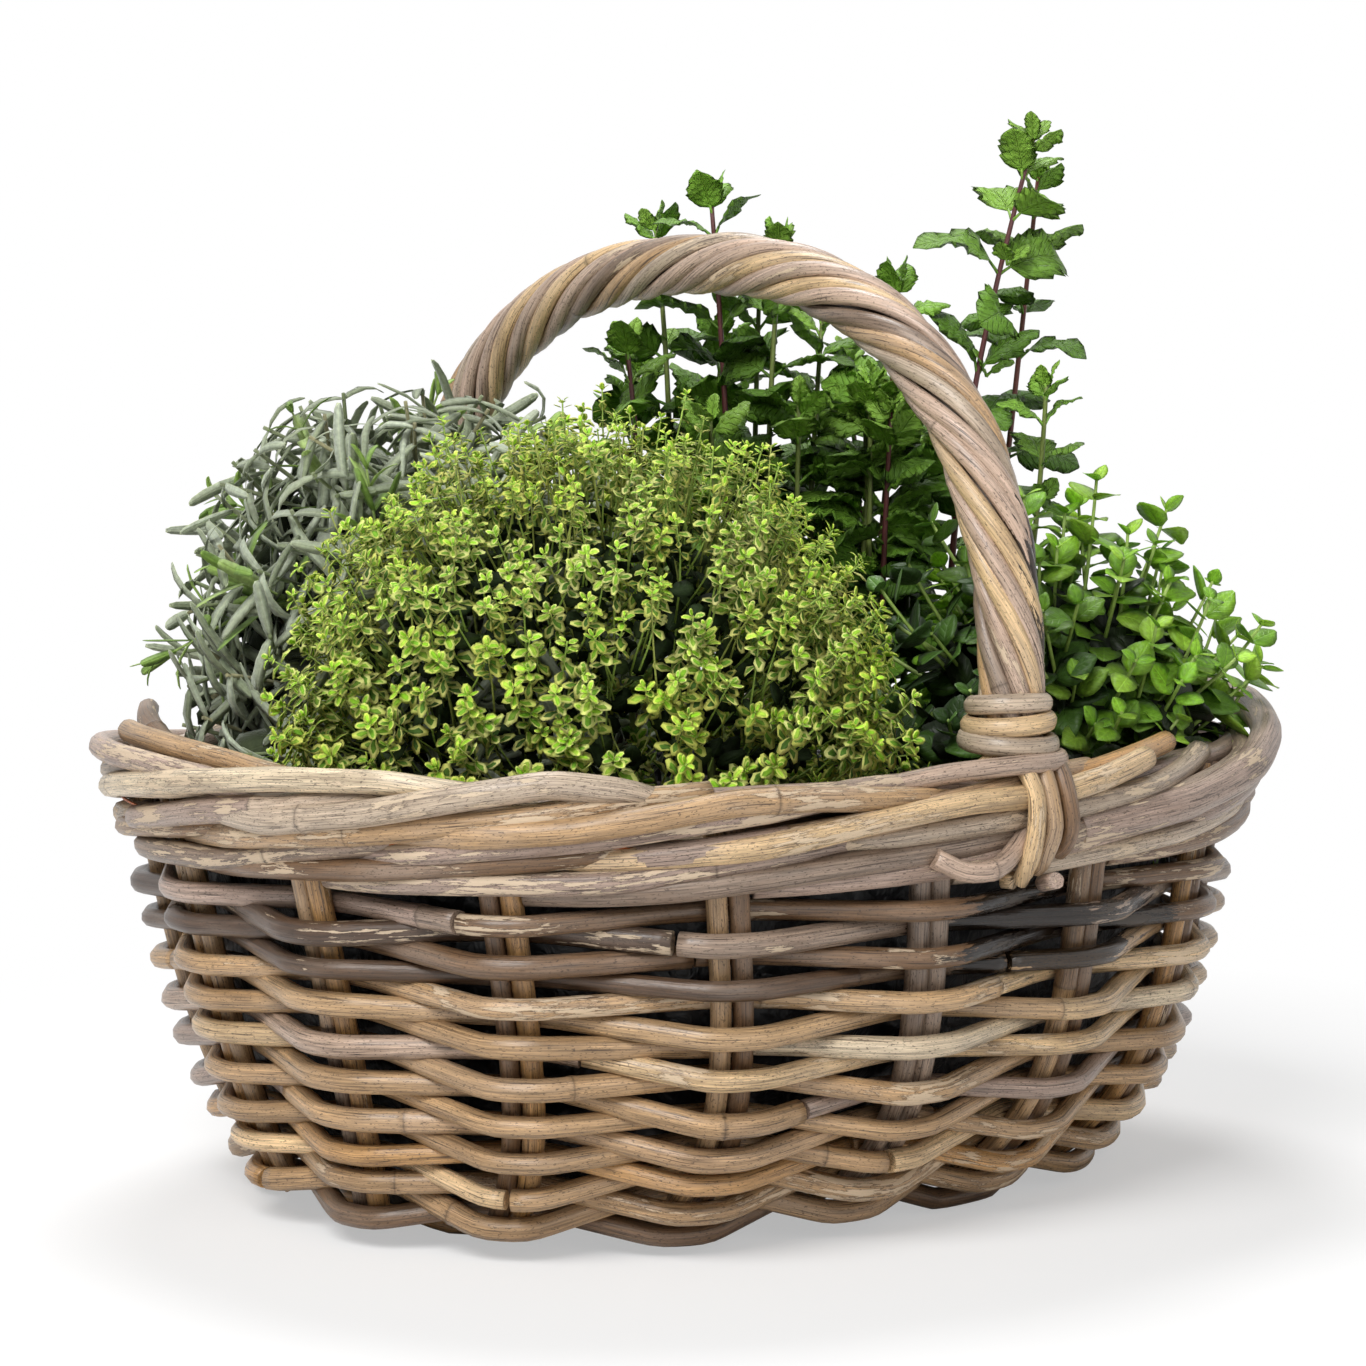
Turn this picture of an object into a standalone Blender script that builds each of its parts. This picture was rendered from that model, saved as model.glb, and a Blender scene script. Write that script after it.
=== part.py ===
"""A basket of potted herbs: mint with thyme, lavender and oregano in a lined rattan basket.

Metres, +Z up. The origin is on the floor under the middle of the basket, +X runs along the
long side of the oval and the arched handle stands in the plane X = 0.
"""

import math
import random

import bmesh
import bpy
from mathutils import Vector

# ---- driving dimensions ----
STAKE_PAIRS = 16
WEAVER_ROWS = 16
STAKE_HALF_LENGTH = 0.1985     # stake line of the oval at the rim
STAKE_HALF_WIDTH = 0.1655
OVAL_POWER = 2.35               # 2 is an ellipse, more is squarer
RIM_HEIGHT = 0.157
LENGTH_TAPER = (0.195, 0.03)   # even taper of the wall, and its tuck under at the foot
WIDTH_TAPER = (0.08, 0.38)
TUCK_POWER = 5.0
STAKE_FOOT_Z = 0.0045
STAKE_TOP_Z = 0.1465

STAKE_HALF_DEPTH = 0.0034      # a pair of rods side by side, through the wall
STAKE_HALF_BREADTH = 0.0068
WEAVER_RADIUS = 0.0028
WEAVER_OFFSET = 0.0072         # from the stake line to a weaver that passes a stake
FIRST_ROW_ARC = 0.0085         # lowest weaver, measured up the stake
LAST_ROW_Z = 0.1148
WALE_RADIUS = 0.0039
WALE_OFFSET = 0.0077
WALE_HEIGHTS = (0.1262, 0.1344, 0.1426)
BORDER_RADIUS = 0.0042
BORDER_Z = 0.1524
BORDER_OFFSETS = (0.0125, 0.0035)

BASE_INSET = 0.013
BASE_THICKNESS = 0.007
LINER_INSET = 0.0193
LINER_WALL = 0.0008
LINER_FOOT_Z = 0.0078
LINER_TOP_Z = 0.1310
SOIL_TOP_Z = 0.1270
GAP = 0.0004

HANDLE_HALF_SPAN = 0.1650
HANDLE_TOP_Z = 0.3230
HANDLE_POWER = 2.4
HANDLE_FOOT_Z = 0.1615
HANDLE_STRANDS = 9
STRAND_CREST = 0.0110
STRAND_VALLEY = 0.0094
STRAND_BORE = 0.0072
CORE_RADIUS = 0.0066
STRAND_TURNS = 4
HANDLE_RINGS = 40
BINDING_TURNS = 3
BINDING_PITCH = 0.0072
BINDING_ROD = 0.0034
BINDING_FOOT_Z = 0.1680
STRAP_WIDTH = 0.019
STRAP_THICKNESS = 0.0034

RATTAN = (0.42, 0.32, 0.22, 1.0)
RATTAN_GREY = (0.45, 0.38, 0.32, 1.0)
FILM_BLACK = (0.02, 0.02, 0.022, 1.0)
PEAT_BROWN = (0.06, 0.04, 0.03, 1.0)
THYME_GREEN = (0.42, 0.50, 0.12, 1.0)
LAVENDER_GREY = (0.34, 0.40, 0.33, 1.0)
OREGANO_GREEN = (0.12, 0.33, 0.06, 1.0)
MINT_GREEN = (0.06, 0.22, 0.05, 1.0)


def clear_scene():
    for item in list(bpy.data.objects):
        bpy.data.objects.remove(item)


def material(name, colour, roughness):
    made = bpy.data.materials.new(name)
    made.use_nodes = True
    shader = made.node_tree.nodes["Principled BSDF"]
    shader.inputs["Base Color"].default_value = colour
    shader.inputs["Roughness"].default_value = roughness
    shader.inputs["Metallic"].default_value = 0.0
    return made


def add_object(name, mesh_builder, finish):
    """Links one closed mesh as a named object, with its faces pointing out."""
    mesh = bpy.data.meshes.new(name)
    bmesh.ops.recalc_face_normals(mesh_builder, faces=mesh_builder.faces)
    mesh_builder.to_mesh(mesh)
    mesh_builder.free()
    mesh.materials.append(finish)
    made = bpy.data.objects.new(name, mesh)
    bpy.context.scene.collection.objects.link(made)
    mesh.shade_smooth()
    mesh.set_sharp_from_angle(angle=math.radians(50))
    return made


def even_points(points, count):
    """count + 1 points spaced evenly along a line of points, both ends kept."""
    run = [0.0]
    for before, after in zip(points, points[1:]):
        run.append(run[-1] + (after - before).length)
    found = []
    k = 0
    for index in range(count + 1):
        target = run[-1] * index / count
        while k < len(run) - 2 and run[k + 1] < target:
            k += 1
        found.append(points[k].lerp(points[k + 1], (target - run[k]) / (run[k + 1] - run[k])))
    return found


# ---- the oval wall ----
def signed_power(value, power):
    return math.copysign(abs(value) ** power, value)


def wall_scale(z):
    """How much narrower the oval is at height z, along its length and its width."""
    depth = 1.0 - z / RIM_HEIGHT
    tuck = max(depth, 0.0) ** TUCK_POWER
    return (
        1.0 - LENGTH_TAPER[0] * depth - LENGTH_TAPER[1] * tuck,
        1.0 - WIDTH_TAPER[0] * depth - WIDTH_TAPER[1] * tuck,
    )


def oval_point(turn, z, inset=0.0):
    """A point of the stake line at parameter turn, moved inwards along the plan's normal."""
    scale_x, scale_y = wall_scale(z)
    half_x, half_y = STAKE_HALF_LENGTH * scale_x, STAKE_HALF_WIDTH * scale_y
    c, s = math.cos(turn), math.sin(turn)
    x = half_x * signed_power(c, 2.0 / OVAL_POWER)
    y = half_y * signed_power(s, 2.0 / OVAL_POWER)
    normal = plan_normal(x, y, half_x, half_y)
    return Vector((x - inset * normal.x, y - inset * normal.y, z))


def plan_normal(x, y, half_x, half_y):
    """Outward normal of the oval in plan."""
    nx = signed_power(x / half_x, OVAL_POWER - 1.0) / half_x
    ny = signed_power(y / half_y, OVAL_POWER - 1.0) / half_y
    return Vector((nx, ny, 0.0)).normalized()


def even_turns(count, shift):
    """Parameters of count points spaced evenly along the rim, from the front middle."""
    steps = 2880
    turns = [-math.pi / 2 + 2 * math.pi * k / steps for k in range(steps + 1)]
    points = [oval_point(turn, RIM_HEIGHT * 0.6) for turn in turns]
    run = [0.0]
    for before, after in zip(points, points[1:]):
        run.append(run[-1] + (after - before).length)
    found = []
    k = 0
    for index in range(count):
        target = run[-1] * (index + shift) / count
        while run[k + 1] < target:
            k += 1
        share = (target - run[k]) / (run[k + 1] - run[k])
        found.append(turns[k] + share * (turns[k + 1] - turns[k]))
    return found


class StakeLine:
    """The centre line of one pair of stakes, which weavers pass in front of or behind."""

    def __init__(self, turn):
        steps = 60
        self.points = [
            oval_point(turn, STAKE_FOOT_Z + (STAKE_TOP_Z - STAKE_FOOT_Z) * k / steps)
            for k in range(steps + 1)
        ]
        self.arc = [0.0]
        for before, after in zip(self.points, self.points[1:]):
            self.arc.append(self.arc[-1] + (after - before).length)
        scale_x, scale_y = wall_scale(RIM_HEIGHT)
        top = oval_point(turn, RIM_HEIGHT)
        self.out = plan_normal(
            top.x, top.y, STAKE_HALF_LENGTH * scale_x, STAKE_HALF_WIDTH * scale_y
        )
        self.along = Vector((-self.out.y, self.out.x, 0.0))

    def at_arc(self, distance):
        """(point, outward normal square to the stake) at that distance up the stake."""
        k = 0
        while k < len(self.arc) - 2 and self.arc[k + 1] < distance:
            k += 1
        share = (distance - self.arc[k]) / (self.arc[k + 1] - self.arc[k])
        point = self.points[k].lerp(self.points[k + 1], share)
        rise = (self.points[k + 1] - self.points[k]).normalized()
        normal = self.along.cross(rise)
        if normal.dot(self.out) < 0:
            normal.negate()
        return point, normal.normalized()

    def arc_at_height(self, z):
        rise = (z - self.points[0].z) / (self.points[-1].z - self.points[0].z)
        place = rise * (len(self.points) - 1)
        k = min(int(place), len(self.points) - 2)
        return self.arc[k] + (place - k) * (self.arc[k + 1] - self.arc[k])


# ---- lofted solids ----
def loft(rings, closed=False):
    """A bmesh through rings of points; open lofts get an end cap at both ends."""
    builder = bmesh.new()
    rows = [[builder.verts.new(point) for point in ring] for ring in rings]
    count = len(rows[0])
    spans = list(zip(rows, rows[1:]))
    if closed:
        spans.append((rows[-1], rows[0]))
    for low, high in spans:
        for k in range(count):
            n = (k + 1) % count
            builder.faces.new((low[k], low[n], high[n], high[k]))
    if not closed:
        builder.faces.new(rows[0])
        builder.faces.new(rows[-1])
    return builder


def rod_rings(path, radius, sides, closed, lead=Vector((0.0, 0.0, 1.0))):
    """Rings of a rod along path. Each lies in the plane that halves the bend."""
    rings = []
    last = len(path) - 1
    for k, point in enumerate(path):
        before = path[k - 1] if (k > 0 or closed) else point
        after = path[(k + 1) % len(path)] if (k < last or closed) else point
        tangent = (after - before).normalized()
        side = tangent.cross(lead).normalized()
        up = side.cross(tangent)
        rings.append([
            point
            + side * (radius * math.cos(2 * math.pi * i / sides))
            + up * (radius * math.sin(2 * math.pi * i / sides))
            for i in range(sides)
        ])
    return rings


# ---- basket ----
def build_base(finish):
    turns = [2 * math.pi * k / 32 for k in range(32)]
    rings = []
    for z in (0.0, BASE_THICKNESS):
        rings.append([Vector((*oval_point(turn, 0.0, BASE_INSET).xy, z)) for turn in turns])
    add_object("base_mat", loft(rings), finish)


def build_stakes(lines, finish):
    for index, line in enumerate(lines):
        rings = []
        for k in range(7):
            arc = line.arc[-1] * k / 6
            point, normal = line.at_arc(arc)
            ring = []
            for across, deep in ((-1, -0.6), (-0.5, -1), (0.5, -1), (1, -0.6),
                                 (1, 0.6), (0.5, 1), (-0.5, 1), (-1, 0.6)):
                ring.append(
                    point
                    + line.along * (across * STAKE_HALF_BREADTH)
                    + normal * (deep * STAKE_HALF_DEPTH)
                )
            rings.append(ring)
        add_object(f"stake_pair_{index + 1:02d}", loft(rings), finish)


def build_weavers(lines, finish):
    """Plain weave: each row passes in front of one stake pair and behind the next."""
    flat = STAKE_HALF_BREADTH + 0.0015
    for row in range(WEAVER_ROWS):
        path = []
        for index, line in enumerate(lines):
            top = line.arc_at_height(LAST_ROW_Z)
            arc = FIRST_ROW_ARC + (top - FIRST_ROW_ARC) * row / (WEAVER_ROWS - 1)
            point, normal = line.at_arc(arc)
            side = 1.0 if (index + row) % 2 == 0 else -1.0
            centre = point + normal * (side * WEAVER_OFFSET)
            path.append(centre - line.along * flat)
            path.append(centre + line.along * flat)
        rings = rod_rings(path, WEAVER_RADIUS, 5, closed=True)
        add_object(f"weaver_row_{row + 1:02d}", loft(rings, closed=True), finish)


def build_wales(lines, finish):
    """Thicker rods over the weave: in front of three stake pairs, then behind one."""
    flat = STAKE_HALF_BREADTH + 0.0015
    for number, z in enumerate(WALE_HEIGHTS):
        path = []
        for index, line in enumerate(lines):
            point, normal = line.at_arc(line.arc_at_height(z))
            side = -1.0 if (index + number) % 4 == 0 else 1.0
            centre = point + line.out * (side * WALE_OFFSET)
            centre.z = z
            path.append(centre - line.along * flat)
            path.append(centre + line.along * flat)
        rings = rod_rings(path, WALE_RADIUS, 6, closed=True)
        add_object(f"wale_rod_{number + 1}", loft(rings, closed=True), finish)


def build_border(finish):
    turns = even_turns(40, 0.0)
    for number, offset in enumerate(BORDER_OFFSETS):
        path = [Vector((*oval_point(turn, RIM_HEIGHT, -offset).xy, BORDER_Z)) for turn in turns]
        rings = rod_rings(path, BORDER_RADIUS, 6, closed=True)
        add_object(f"border_rod_{number + 1}", loft(rings, closed=True), finish)


# ---- handle ----
def handle_path():
    """Points of the arch from the front foot to the back foot."""
    path = []
    for k in range(361):
        angle = math.pi * k / 360
        y = -HANDLE_HALF_SPAN * signed_power(math.cos(angle), 2.0 / HANDLE_POWER)
        rise = (HANDLE_TOP_Z - HANDLE_FOOT_Z) * abs(math.sin(angle)) ** (2.0 / HANDLE_POWER)
        path.append(Vector((0.0, y, HANDLE_FOOT_Z + rise)))
    return even_points(path, HANDLE_RINGS)


def path_frames(path):
    """(point, across, outward) at each point; the arch lies in the plane X = 0."""
    frames = []
    for k, point in enumerate(path):
        before = path[max(k - 1, 0)]
        after = path[min(k + 1, len(path) - 1)]
        tangent = (after - before).normalized()
        across = Vector((1.0, 0.0, 0.0))
        frames.append((point, across, across.cross(tangent)))
    return frames


def build_handle(core_finish, wrap_finish):
    frames = path_frames(handle_path())
    core = []
    for point, across, outward in frames:
        core.append([
            point
            + across * (CORE_RADIUS * math.cos(math.pi * i / 3))
            + outward * (CORE_RADIUS * math.sin(math.pi * i / 3))
            for i in range(6)
        ])
    add_object("handle_core", loft(core), core_finish)

    builder = bmesh.new()
    outer, inner = [], []
    for k, (point, across, outward) in enumerate(frames):
        twist = 2 * math.pi * STRAND_TURNS * k / HANDLE_RINGS
        def rim(radius, share):
            angle = twist + 2 * math.pi * share / HANDLE_STRANDS
            return builder.verts.new(
                point + across * (radius * math.cos(angle)) + outward * (radius * math.sin(angle))
            )
        ring = []
        for strand in range(HANDLE_STRANDS):
            ring.append(rim(STRAND_CREST, strand))
            ring.append(rim(STRAND_VALLEY, strand + 0.5))
        outer.append(ring)
        twist = 0.0
        inner.append([rim(STRAND_BORE, strand) for strand in range(HANDLE_STRANDS)])
    for rings in (outer, inner):
        count = len(rings[0])
        for low, high in zip(rings, rings[1:]):
            for i in range(count):
                n = (i + 1) % count
                builder.faces.new((low[i], low[n], high[n], high[i]))
    for end in (0, -1):
        for i in range(HANDLE_STRANDS):
            n = (i + 1) % HANDLE_STRANDS
            builder.faces.new((
                outer[end][2 * i], outer[end][2 * i + 1], outer[end][2 * n],
                inner[end][n], inner[end][i],
            ))
    add_object("handle_wrap", builder, wrap_finish)


def build_bindings(finish):
    """Rod wound round each foot of the handle, and the strap that ties it to the rim."""
    for word, side in (("front", -1.0), ("back", 1.0)):
        radius = STRAND_CREST + 2 * GAP + BINDING_ROD
        steps = BINDING_TURNS * 12
        path = []
        for k in range(steps + 1):
            angle = 2 * math.pi * k / 12
            path.append(Vector((
                radius * math.cos(angle),
                side * HANDLE_HALF_SPAN + radius * math.sin(angle),
                BINDING_FOOT_Z + BINDING_PITCH * k / 12,
            )))
        rings = rod_rings(path, BINDING_ROD, 5, closed=False)
        add_object(f"handle_binding_{word}", loft(rings), finish)

        near = STAKE_HALF_WIDTH - 0.0035 - WALE_OFFSET - WALE_RADIUS
        far = STAKE_HALF_WIDTH + BORDER_OFFSETS[0] + BORDER_RADIUS + GAP
        low = WALE_HEIGHTS[0] - WALE_RADIUS - GAP
        high = BORDER_Z + BORDER_RADIUS + GAP
        t = STRAP_THICKNESS
        corners = ((near, low), (far, low), (far, high), (near, high))
        grown = ((near - t, low - t), (far + t, low - t), (far + t, high + t), (near - t, high + t))
        rings = []
        for (y_in, z_in), (y_out, z_out) in zip(corners, grown):
            half = STRAP_WIDTH / 2
            rings.append([
                Vector((-half, side * y_in, z_in)), Vector((half, side * y_in, z_in)),
                Vector((half, side * y_out, z_out)), Vector((-half, side * y_out, z_out)),
            ])
        add_object(f"handle_strap_{word}", loft(rings, closed=True), finish)


# ---- liner and soil ----
def build_liner_and_soil(film, peat):
    turns = [2 * math.pi * k / 28 for k in range(28)]

    def rings(heights, insets, inwards):
        return [
            [oval_point(turn, z, inset + inwards) for turn in turns]
            for z, inset in zip(heights, insets)
        ]

    middle = (0.022, 0.045, 0.085)
    insets = (LINER_INSET + 0.012, LINER_INSET + 0.004, LINER_INSET, LINER_INSET, LINER_INSET)
    wall = 1.6 * LINER_WALL
    outside = rings((LINER_FOOT_Z, *middle, LINER_TOP_Z), insets, 0.0)
    floor = LINER_FOOT_Z + LINER_WALL
    inside = rings((floor, *middle, LINER_TOP_Z), insets, wall)
    add_object("liner", loft(outside + inside[::-1]), film)
    soil = rings((floor + GAP, *middle, SOIL_TOP_Z), insets, wall + 2 * GAP)
    add_object("soil", loft(soil), peat)


# ---- herbs ----
def reach_inside_oval(centre, way, z, inset):
    """How far from centre towards way the oval, taken in by inset, lets a plant reach."""
    low, high = 0.0, 0.5
    scale_x, scale_y = wall_scale(z)
    half_x = STAKE_HALF_LENGTH * scale_x - inset
    half_y = STAKE_HALF_WIDTH * scale_y - inset
    for _ in range(24):
        middle = (low + high) / 2
        p = centre + way * middle
        full = abs(p.x / half_x) ** OVAL_POWER + abs(p.y / half_y) ** OVAL_POWER
        if full < 1.0:
            low = middle
        else:
            high = middle
    return low


def build_cushion(name, finish, plant):
    """A leafy cushion as one closed solid: narrow at the soil, widest above the rim."""
    chance = random.Random(plant["seed"])
    spokes = 22
    centre = Vector((*plant["centre"], 0.0))
    lobes = [1.0 + 0.05 * chance.uniform(-1, 1) for _ in range(spokes)]
    bottom = SOIL_TOP_Z + GAP
    rings = []
    for share, width in plant["profile"]:
        z = bottom + (plant["top"] - bottom) * share
        ring = []
        for k in range(spokes):
            angle = 2 * math.pi * k / spokes
            way = Vector((math.cos(angle), math.sin(angle), 0.0))
            turned = angle - plant["turn"]
            half_a, half_b = plant["half_sizes"]
            reach = 1.0 / math.hypot(math.cos(turned) / half_a, math.sin(turned) / half_b)
            reach *= width * lobes[k]
            for (nx, ny), limit in plant["walls"]:
                towards = nx * way.x + ny * way.y
                room = limit - (nx * centre.x + ny * centre.y)
                if towards > 1e-6:
                    reach = min(reach, room / towards)
            if z < 0.161:
                reach = min(reach, reach_inside_oval(centre, way, min(z, RIM_HEIGHT), 0.0235))
            ring.append(centre + way * reach + Vector((0, 0, z)))
        rings.append(ring)
    add_object(name, loft(rings), finish)


CUSHION_PROFILE = ((0.0, 0.66), (0.20, 0.80), (0.27, 0.95), (0.48, 1.0), (0.72, 0.86),
                   (0.90, 0.58), (1.0, 0.24))
CLUMP_PROFILE = ((0.0, 0.66), (0.26, 0.82), (0.38, 0.98), (0.62, 0.96), (0.86, 0.70),
                 (1.0, 0.30))
VIEW_AXIS = math.radians(-39.8)      # the thyme grows widest along this diagonal
HANDLE_CLEARANCE = 0.0205
SPLIT = (math.sin(-VIEW_AXIS), math.cos(VIEW_AXIS))     # points from the thyme to the lavender
PLANTS = {
    "thyme": dict(
        seed=3, centre=(-0.088, -0.062), half_sizes=(0.108, 0.070), turn=VIEW_AXIS, top=0.270,
        profile=CUSHION_PROFILE,
        walls=(((1.0, 0.0), -HANDLE_CLEARANCE), (SPLIT, -0.0455)),
    ),
    "lavender": dict(
        seed=5, centre=(-0.088, 0.072), half_sizes=(0.100, 0.088), turn=0.9, top=0.288,
        profile=CUSHION_PROFILE,
        walls=(((1.0, 0.0), -HANDLE_CLEARANCE), ((-SPLIT[0], -SPLIT[1]), 0.0445)),
    ),
    "oregano": dict(
        seed=7, centre=(0.108, -0.080), half_sizes=(0.082, 0.064), turn=VIEW_AXIS, top=0.238,
        profile=CLUMP_PROFILE,
        walls=(((-1.0, 0.0), -HANDLE_CLEARANCE), ((0.0, 1.0), -0.032)),
    ),
}

# Each mint shoot: foot on the soil, tip, and the turn of its first leaf pair in degrees.
MINT_SHOOTS = (
    ((0.136, 0.012), (0.1455, -0.020, 0.383), 20),
    ((0.160, 0.024), (0.170, -0.002, 0.366), 62),
    ((0.110, 0.040), (0.108, 0.010, 0.322), 10),
    ((0.078, 0.076), (0.076, 0.080, 0.357), 30),
    ((0.060, 0.114), (0.064, 0.116, 0.346), 70),
    ((0.094, 0.052), (0.090, 0.048, 0.336), 0),
    ((0.042, 0.086), (0.041, 0.088, 0.300), 45),
    ((0.066, 0.026), (0.070, 0.022, 0.278), 80),
    ((0.136, 0.072), (0.142, 0.076, 0.294), 25),
    ((0.104, 0.108), (0.108, 0.110, 0.306), 55),
)
MINT_STEM = 0.0014
MINT_PAIRS = 6
MINT_LEAF = 0.025
# Along a leaf: distance, half breadth, half thickness and rise, as shares of its length.
LEAF_SECTIONS = ((0.22, 0.08, 0.035, 0.10), (0.52, 0.29, 0.03, 0.16), (1.0, 0.06, 0.02, 0.04))


def add_leaf(builder, corners, out, length):
    """Grows a leaf from one side face of the stem; corners run low, low, high, high."""
    across = (corners[1].co - corners[0].co).normalized()
    up = across.cross(out) * -1.0
    if up.z < 0:
        up.negate()
    root = sum((corner.co for corner in corners), Vector()) / 4
    before = corners
    for distance, breadth, thickness, rise in LEAF_SECTIONS:
        middle = root + out * (distance * length) + up * (rise * length)
        section = [
            builder.verts.new(middle + across * (s * breadth * length) + up * (u * thickness * length))
            for s, u in ((-1, -1), (1, -1), (1, 1), (-1, 1))
        ]
        for i in range(4):
            n = (i + 1) % 4
            builder.faces.new((before[i], before[n], section[n], section[i]))
        before = section
    builder.faces.new(before)


def build_mint_shoot(number, foot, tip, first_turn, finish):
    """A square stem with crossed pairs of leaves and a small crown, as one solid."""
    builder = bmesh.new()
    start = Vector((*foot, SOIL_TOP_Z + GAP))
    end = Vector(tip)
    height = end.z - start.z
    turn = math.radians(first_turn)
    sides = [
        Vector((math.cos(turn + math.pi / 2 * i), math.sin(turn + math.pi / 2 * i), 0.0))
        for i in range(4)
    ]
    marks = [0.0]
    for pair in range(MINT_PAIRS):
        share = 0.34 + 0.63 * pair / (MINT_PAIRS - 1) + 0.004 * (number % 3)
        marks.append(share - 0.0012 / height)
        marks.append(share + 0.0012 / height)
    marks.append(1.0)
    rings = []
    for share in marks:
        middle = start.lerp(end, share)
        size = MINT_STEM * (1.15 - 0.45 * share)
        ring = [builder.verts.new(middle + (sides[i] + sides[(i + 1) % 4]) * size) for i in range(4)]
        rings.append(ring)
    for level, (low, high) in enumerate(zip(rings, rings[1:])):
        pair = level // 2
        is_node = level % 2 == 1
        for i in range(4):
            n = (i + 1) % 4
            if is_node and i % 2 == pair % 2:
                length = MINT_LEAF * (1.0 - 0.10 * pair)
                add_leaf(builder, [low[i], low[n], high[n], high[i]], sides[n], length)
            else:
                builder.faces.new((low[i], low[n], high[n], high[i]))
    builder.faces.new(rings[0])
    builder.faces.new(rings[-1])
    add_object(f"mint_shoot_{number + 1}", builder, finish)


def main():
    clear_scene()
    rattan = material("rattan", RATTAN, 0.6)
    grey_rattan = material("weathered_rattan", RATTAN_GREY, 0.65)
    film = material("liner_film", FILM_BLACK, 0.3)
    peat = material("potting_soil", PEAT_BROWN, 0.95)
    mint = material("mint_leaf", MINT_GREEN, 0.5)
    herb_finishes = {
        "thyme": material("thyme_leaf", THYME_GREEN, 0.55),
        "lavender": material("lavender_leaf", LAVENDER_GREY, 0.8),
        "oregano": material("oregano_leaf", OREGANO_GREEN, 0.5),
    }
    lines = [StakeLine(turn) for turn in even_turns(STAKE_PAIRS, 0.5)]
    build_base(rattan)
    build_stakes(lines, rattan)
    build_weavers(lines, rattan)
    build_wales(lines, grey_rattan)
    build_border(grey_rattan)
    build_handle(rattan, grey_rattan)
    build_bindings(grey_rattan)
    build_liner_and_soil(film, peat)
    for name, plant in PLANTS.items():
        build_cushion(name + "_cushion", herb_finishes[name], plant)
    for number, (foot, tip, turn) in enumerate(MINT_SHOOTS):
        build_mint_shoot(number, foot, tip, turn, mint)


main()
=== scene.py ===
# A lined rattan basket of potted herbs: mint with thyme, lavender and oregano.
import bpy
import math
import numpy as np
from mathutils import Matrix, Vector


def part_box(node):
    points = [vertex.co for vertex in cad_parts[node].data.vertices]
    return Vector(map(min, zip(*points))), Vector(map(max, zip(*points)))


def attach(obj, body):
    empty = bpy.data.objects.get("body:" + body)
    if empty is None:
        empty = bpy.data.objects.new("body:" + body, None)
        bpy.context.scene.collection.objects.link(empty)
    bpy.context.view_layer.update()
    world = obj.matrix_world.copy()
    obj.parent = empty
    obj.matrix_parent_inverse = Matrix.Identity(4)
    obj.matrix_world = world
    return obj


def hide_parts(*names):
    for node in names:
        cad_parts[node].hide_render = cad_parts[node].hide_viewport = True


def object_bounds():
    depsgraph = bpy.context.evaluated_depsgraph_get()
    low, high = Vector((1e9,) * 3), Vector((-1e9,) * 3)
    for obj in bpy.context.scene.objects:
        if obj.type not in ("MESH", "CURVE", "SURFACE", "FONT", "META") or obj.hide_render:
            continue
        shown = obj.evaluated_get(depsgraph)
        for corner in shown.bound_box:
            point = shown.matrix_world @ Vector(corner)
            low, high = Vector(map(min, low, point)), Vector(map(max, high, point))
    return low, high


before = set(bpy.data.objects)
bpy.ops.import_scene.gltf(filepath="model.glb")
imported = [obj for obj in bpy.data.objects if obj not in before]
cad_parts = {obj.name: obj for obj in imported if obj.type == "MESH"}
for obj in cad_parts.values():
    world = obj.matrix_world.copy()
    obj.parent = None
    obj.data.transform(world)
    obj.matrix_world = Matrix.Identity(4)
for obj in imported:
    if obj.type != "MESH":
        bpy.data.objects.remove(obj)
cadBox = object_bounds()
mm = 0.001      # lengths are in metres, unless a note says mm


def linearColour(text):
    # sRGB hex to the linear colour that the shader wants
    values = [int(text[i:i + 2], 16) / 255 for i in (1, 3, 5)]
    return tuple(v / 12.92 if v < 0.04045 else ((v + 0.055) / 1.055) ** 2.4 for v in values) + (1.0,)


def addNode(tree, kind, links=None, out=0, stops=(), **settings):
    # adds one node and hands back one of its outputs; links maps an input's name or number
    # to a socket or a value, and stops are the (place, colour) pairs of a colour ramp
    node = tree.nodes.new("ShaderNode" + kind)
    for key, value in settings.items():
        setattr(node, key, value)
    for key, value in (links or {}).items():
        if isinstance(value, bpy.types.NodeSocket):
            tree.links.new(value, node.inputs[key])
        else:
            node.inputs[key].default_value = value
    while len(stops) > 2 and len(node.color_ramp.elements) < len(stops):
        node.color_ramp.elements.new(0.5)
    for number, (place, colour) in enumerate(stops):
        element = node.color_ramp.elements[number]
        element.position = place
        element.color = linearColour(colour) if isinstance(colour, str) else (colour,) * 3 + (1,)
    return node.outputs[out] if node.outputs else node


# settings of a colour mix that multiplies, and of one that lies over
multiply = dict(out=2, data_type="RGBA", blend_type="MULTIPLY")
cover = dict(out=2, data_type="RGBA")


def newMaterial(name):
    material = bpy.data.materials.new(name)
    material.use_nodes = True
    material.node_tree.nodes.clear()
    return material, material.node_tree


def unit(vectors):
    return vectors / np.maximum(np.linalg.norm(vectors, axis=-1, keepdims=True), 1e-9)


def runAlong(points):
    # distance along a polyline at each of its points
    return np.concatenate([[0], np.cumsum(np.linalg.norm(np.diff(points, axis=0), axis=1))])


def ringQuads(index):
    # quads between the rings of closed grids of point numbers, (..., rings, around)
    after = np.roll(index, -1, axis=-1)
    low, high = (index[..., :-1, :], after[..., :-1, :]), (after[..., 1:, :], index[..., 1:, :])
    return np.stack(low + high, -1).reshape(-1, 4)


def fan(ring, middle):
    # triangles from a ring of point numbers to the one in its middle
    return np.stack([ring, np.roll(ring, -1), np.full(len(ring), middle)], -1)


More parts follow.
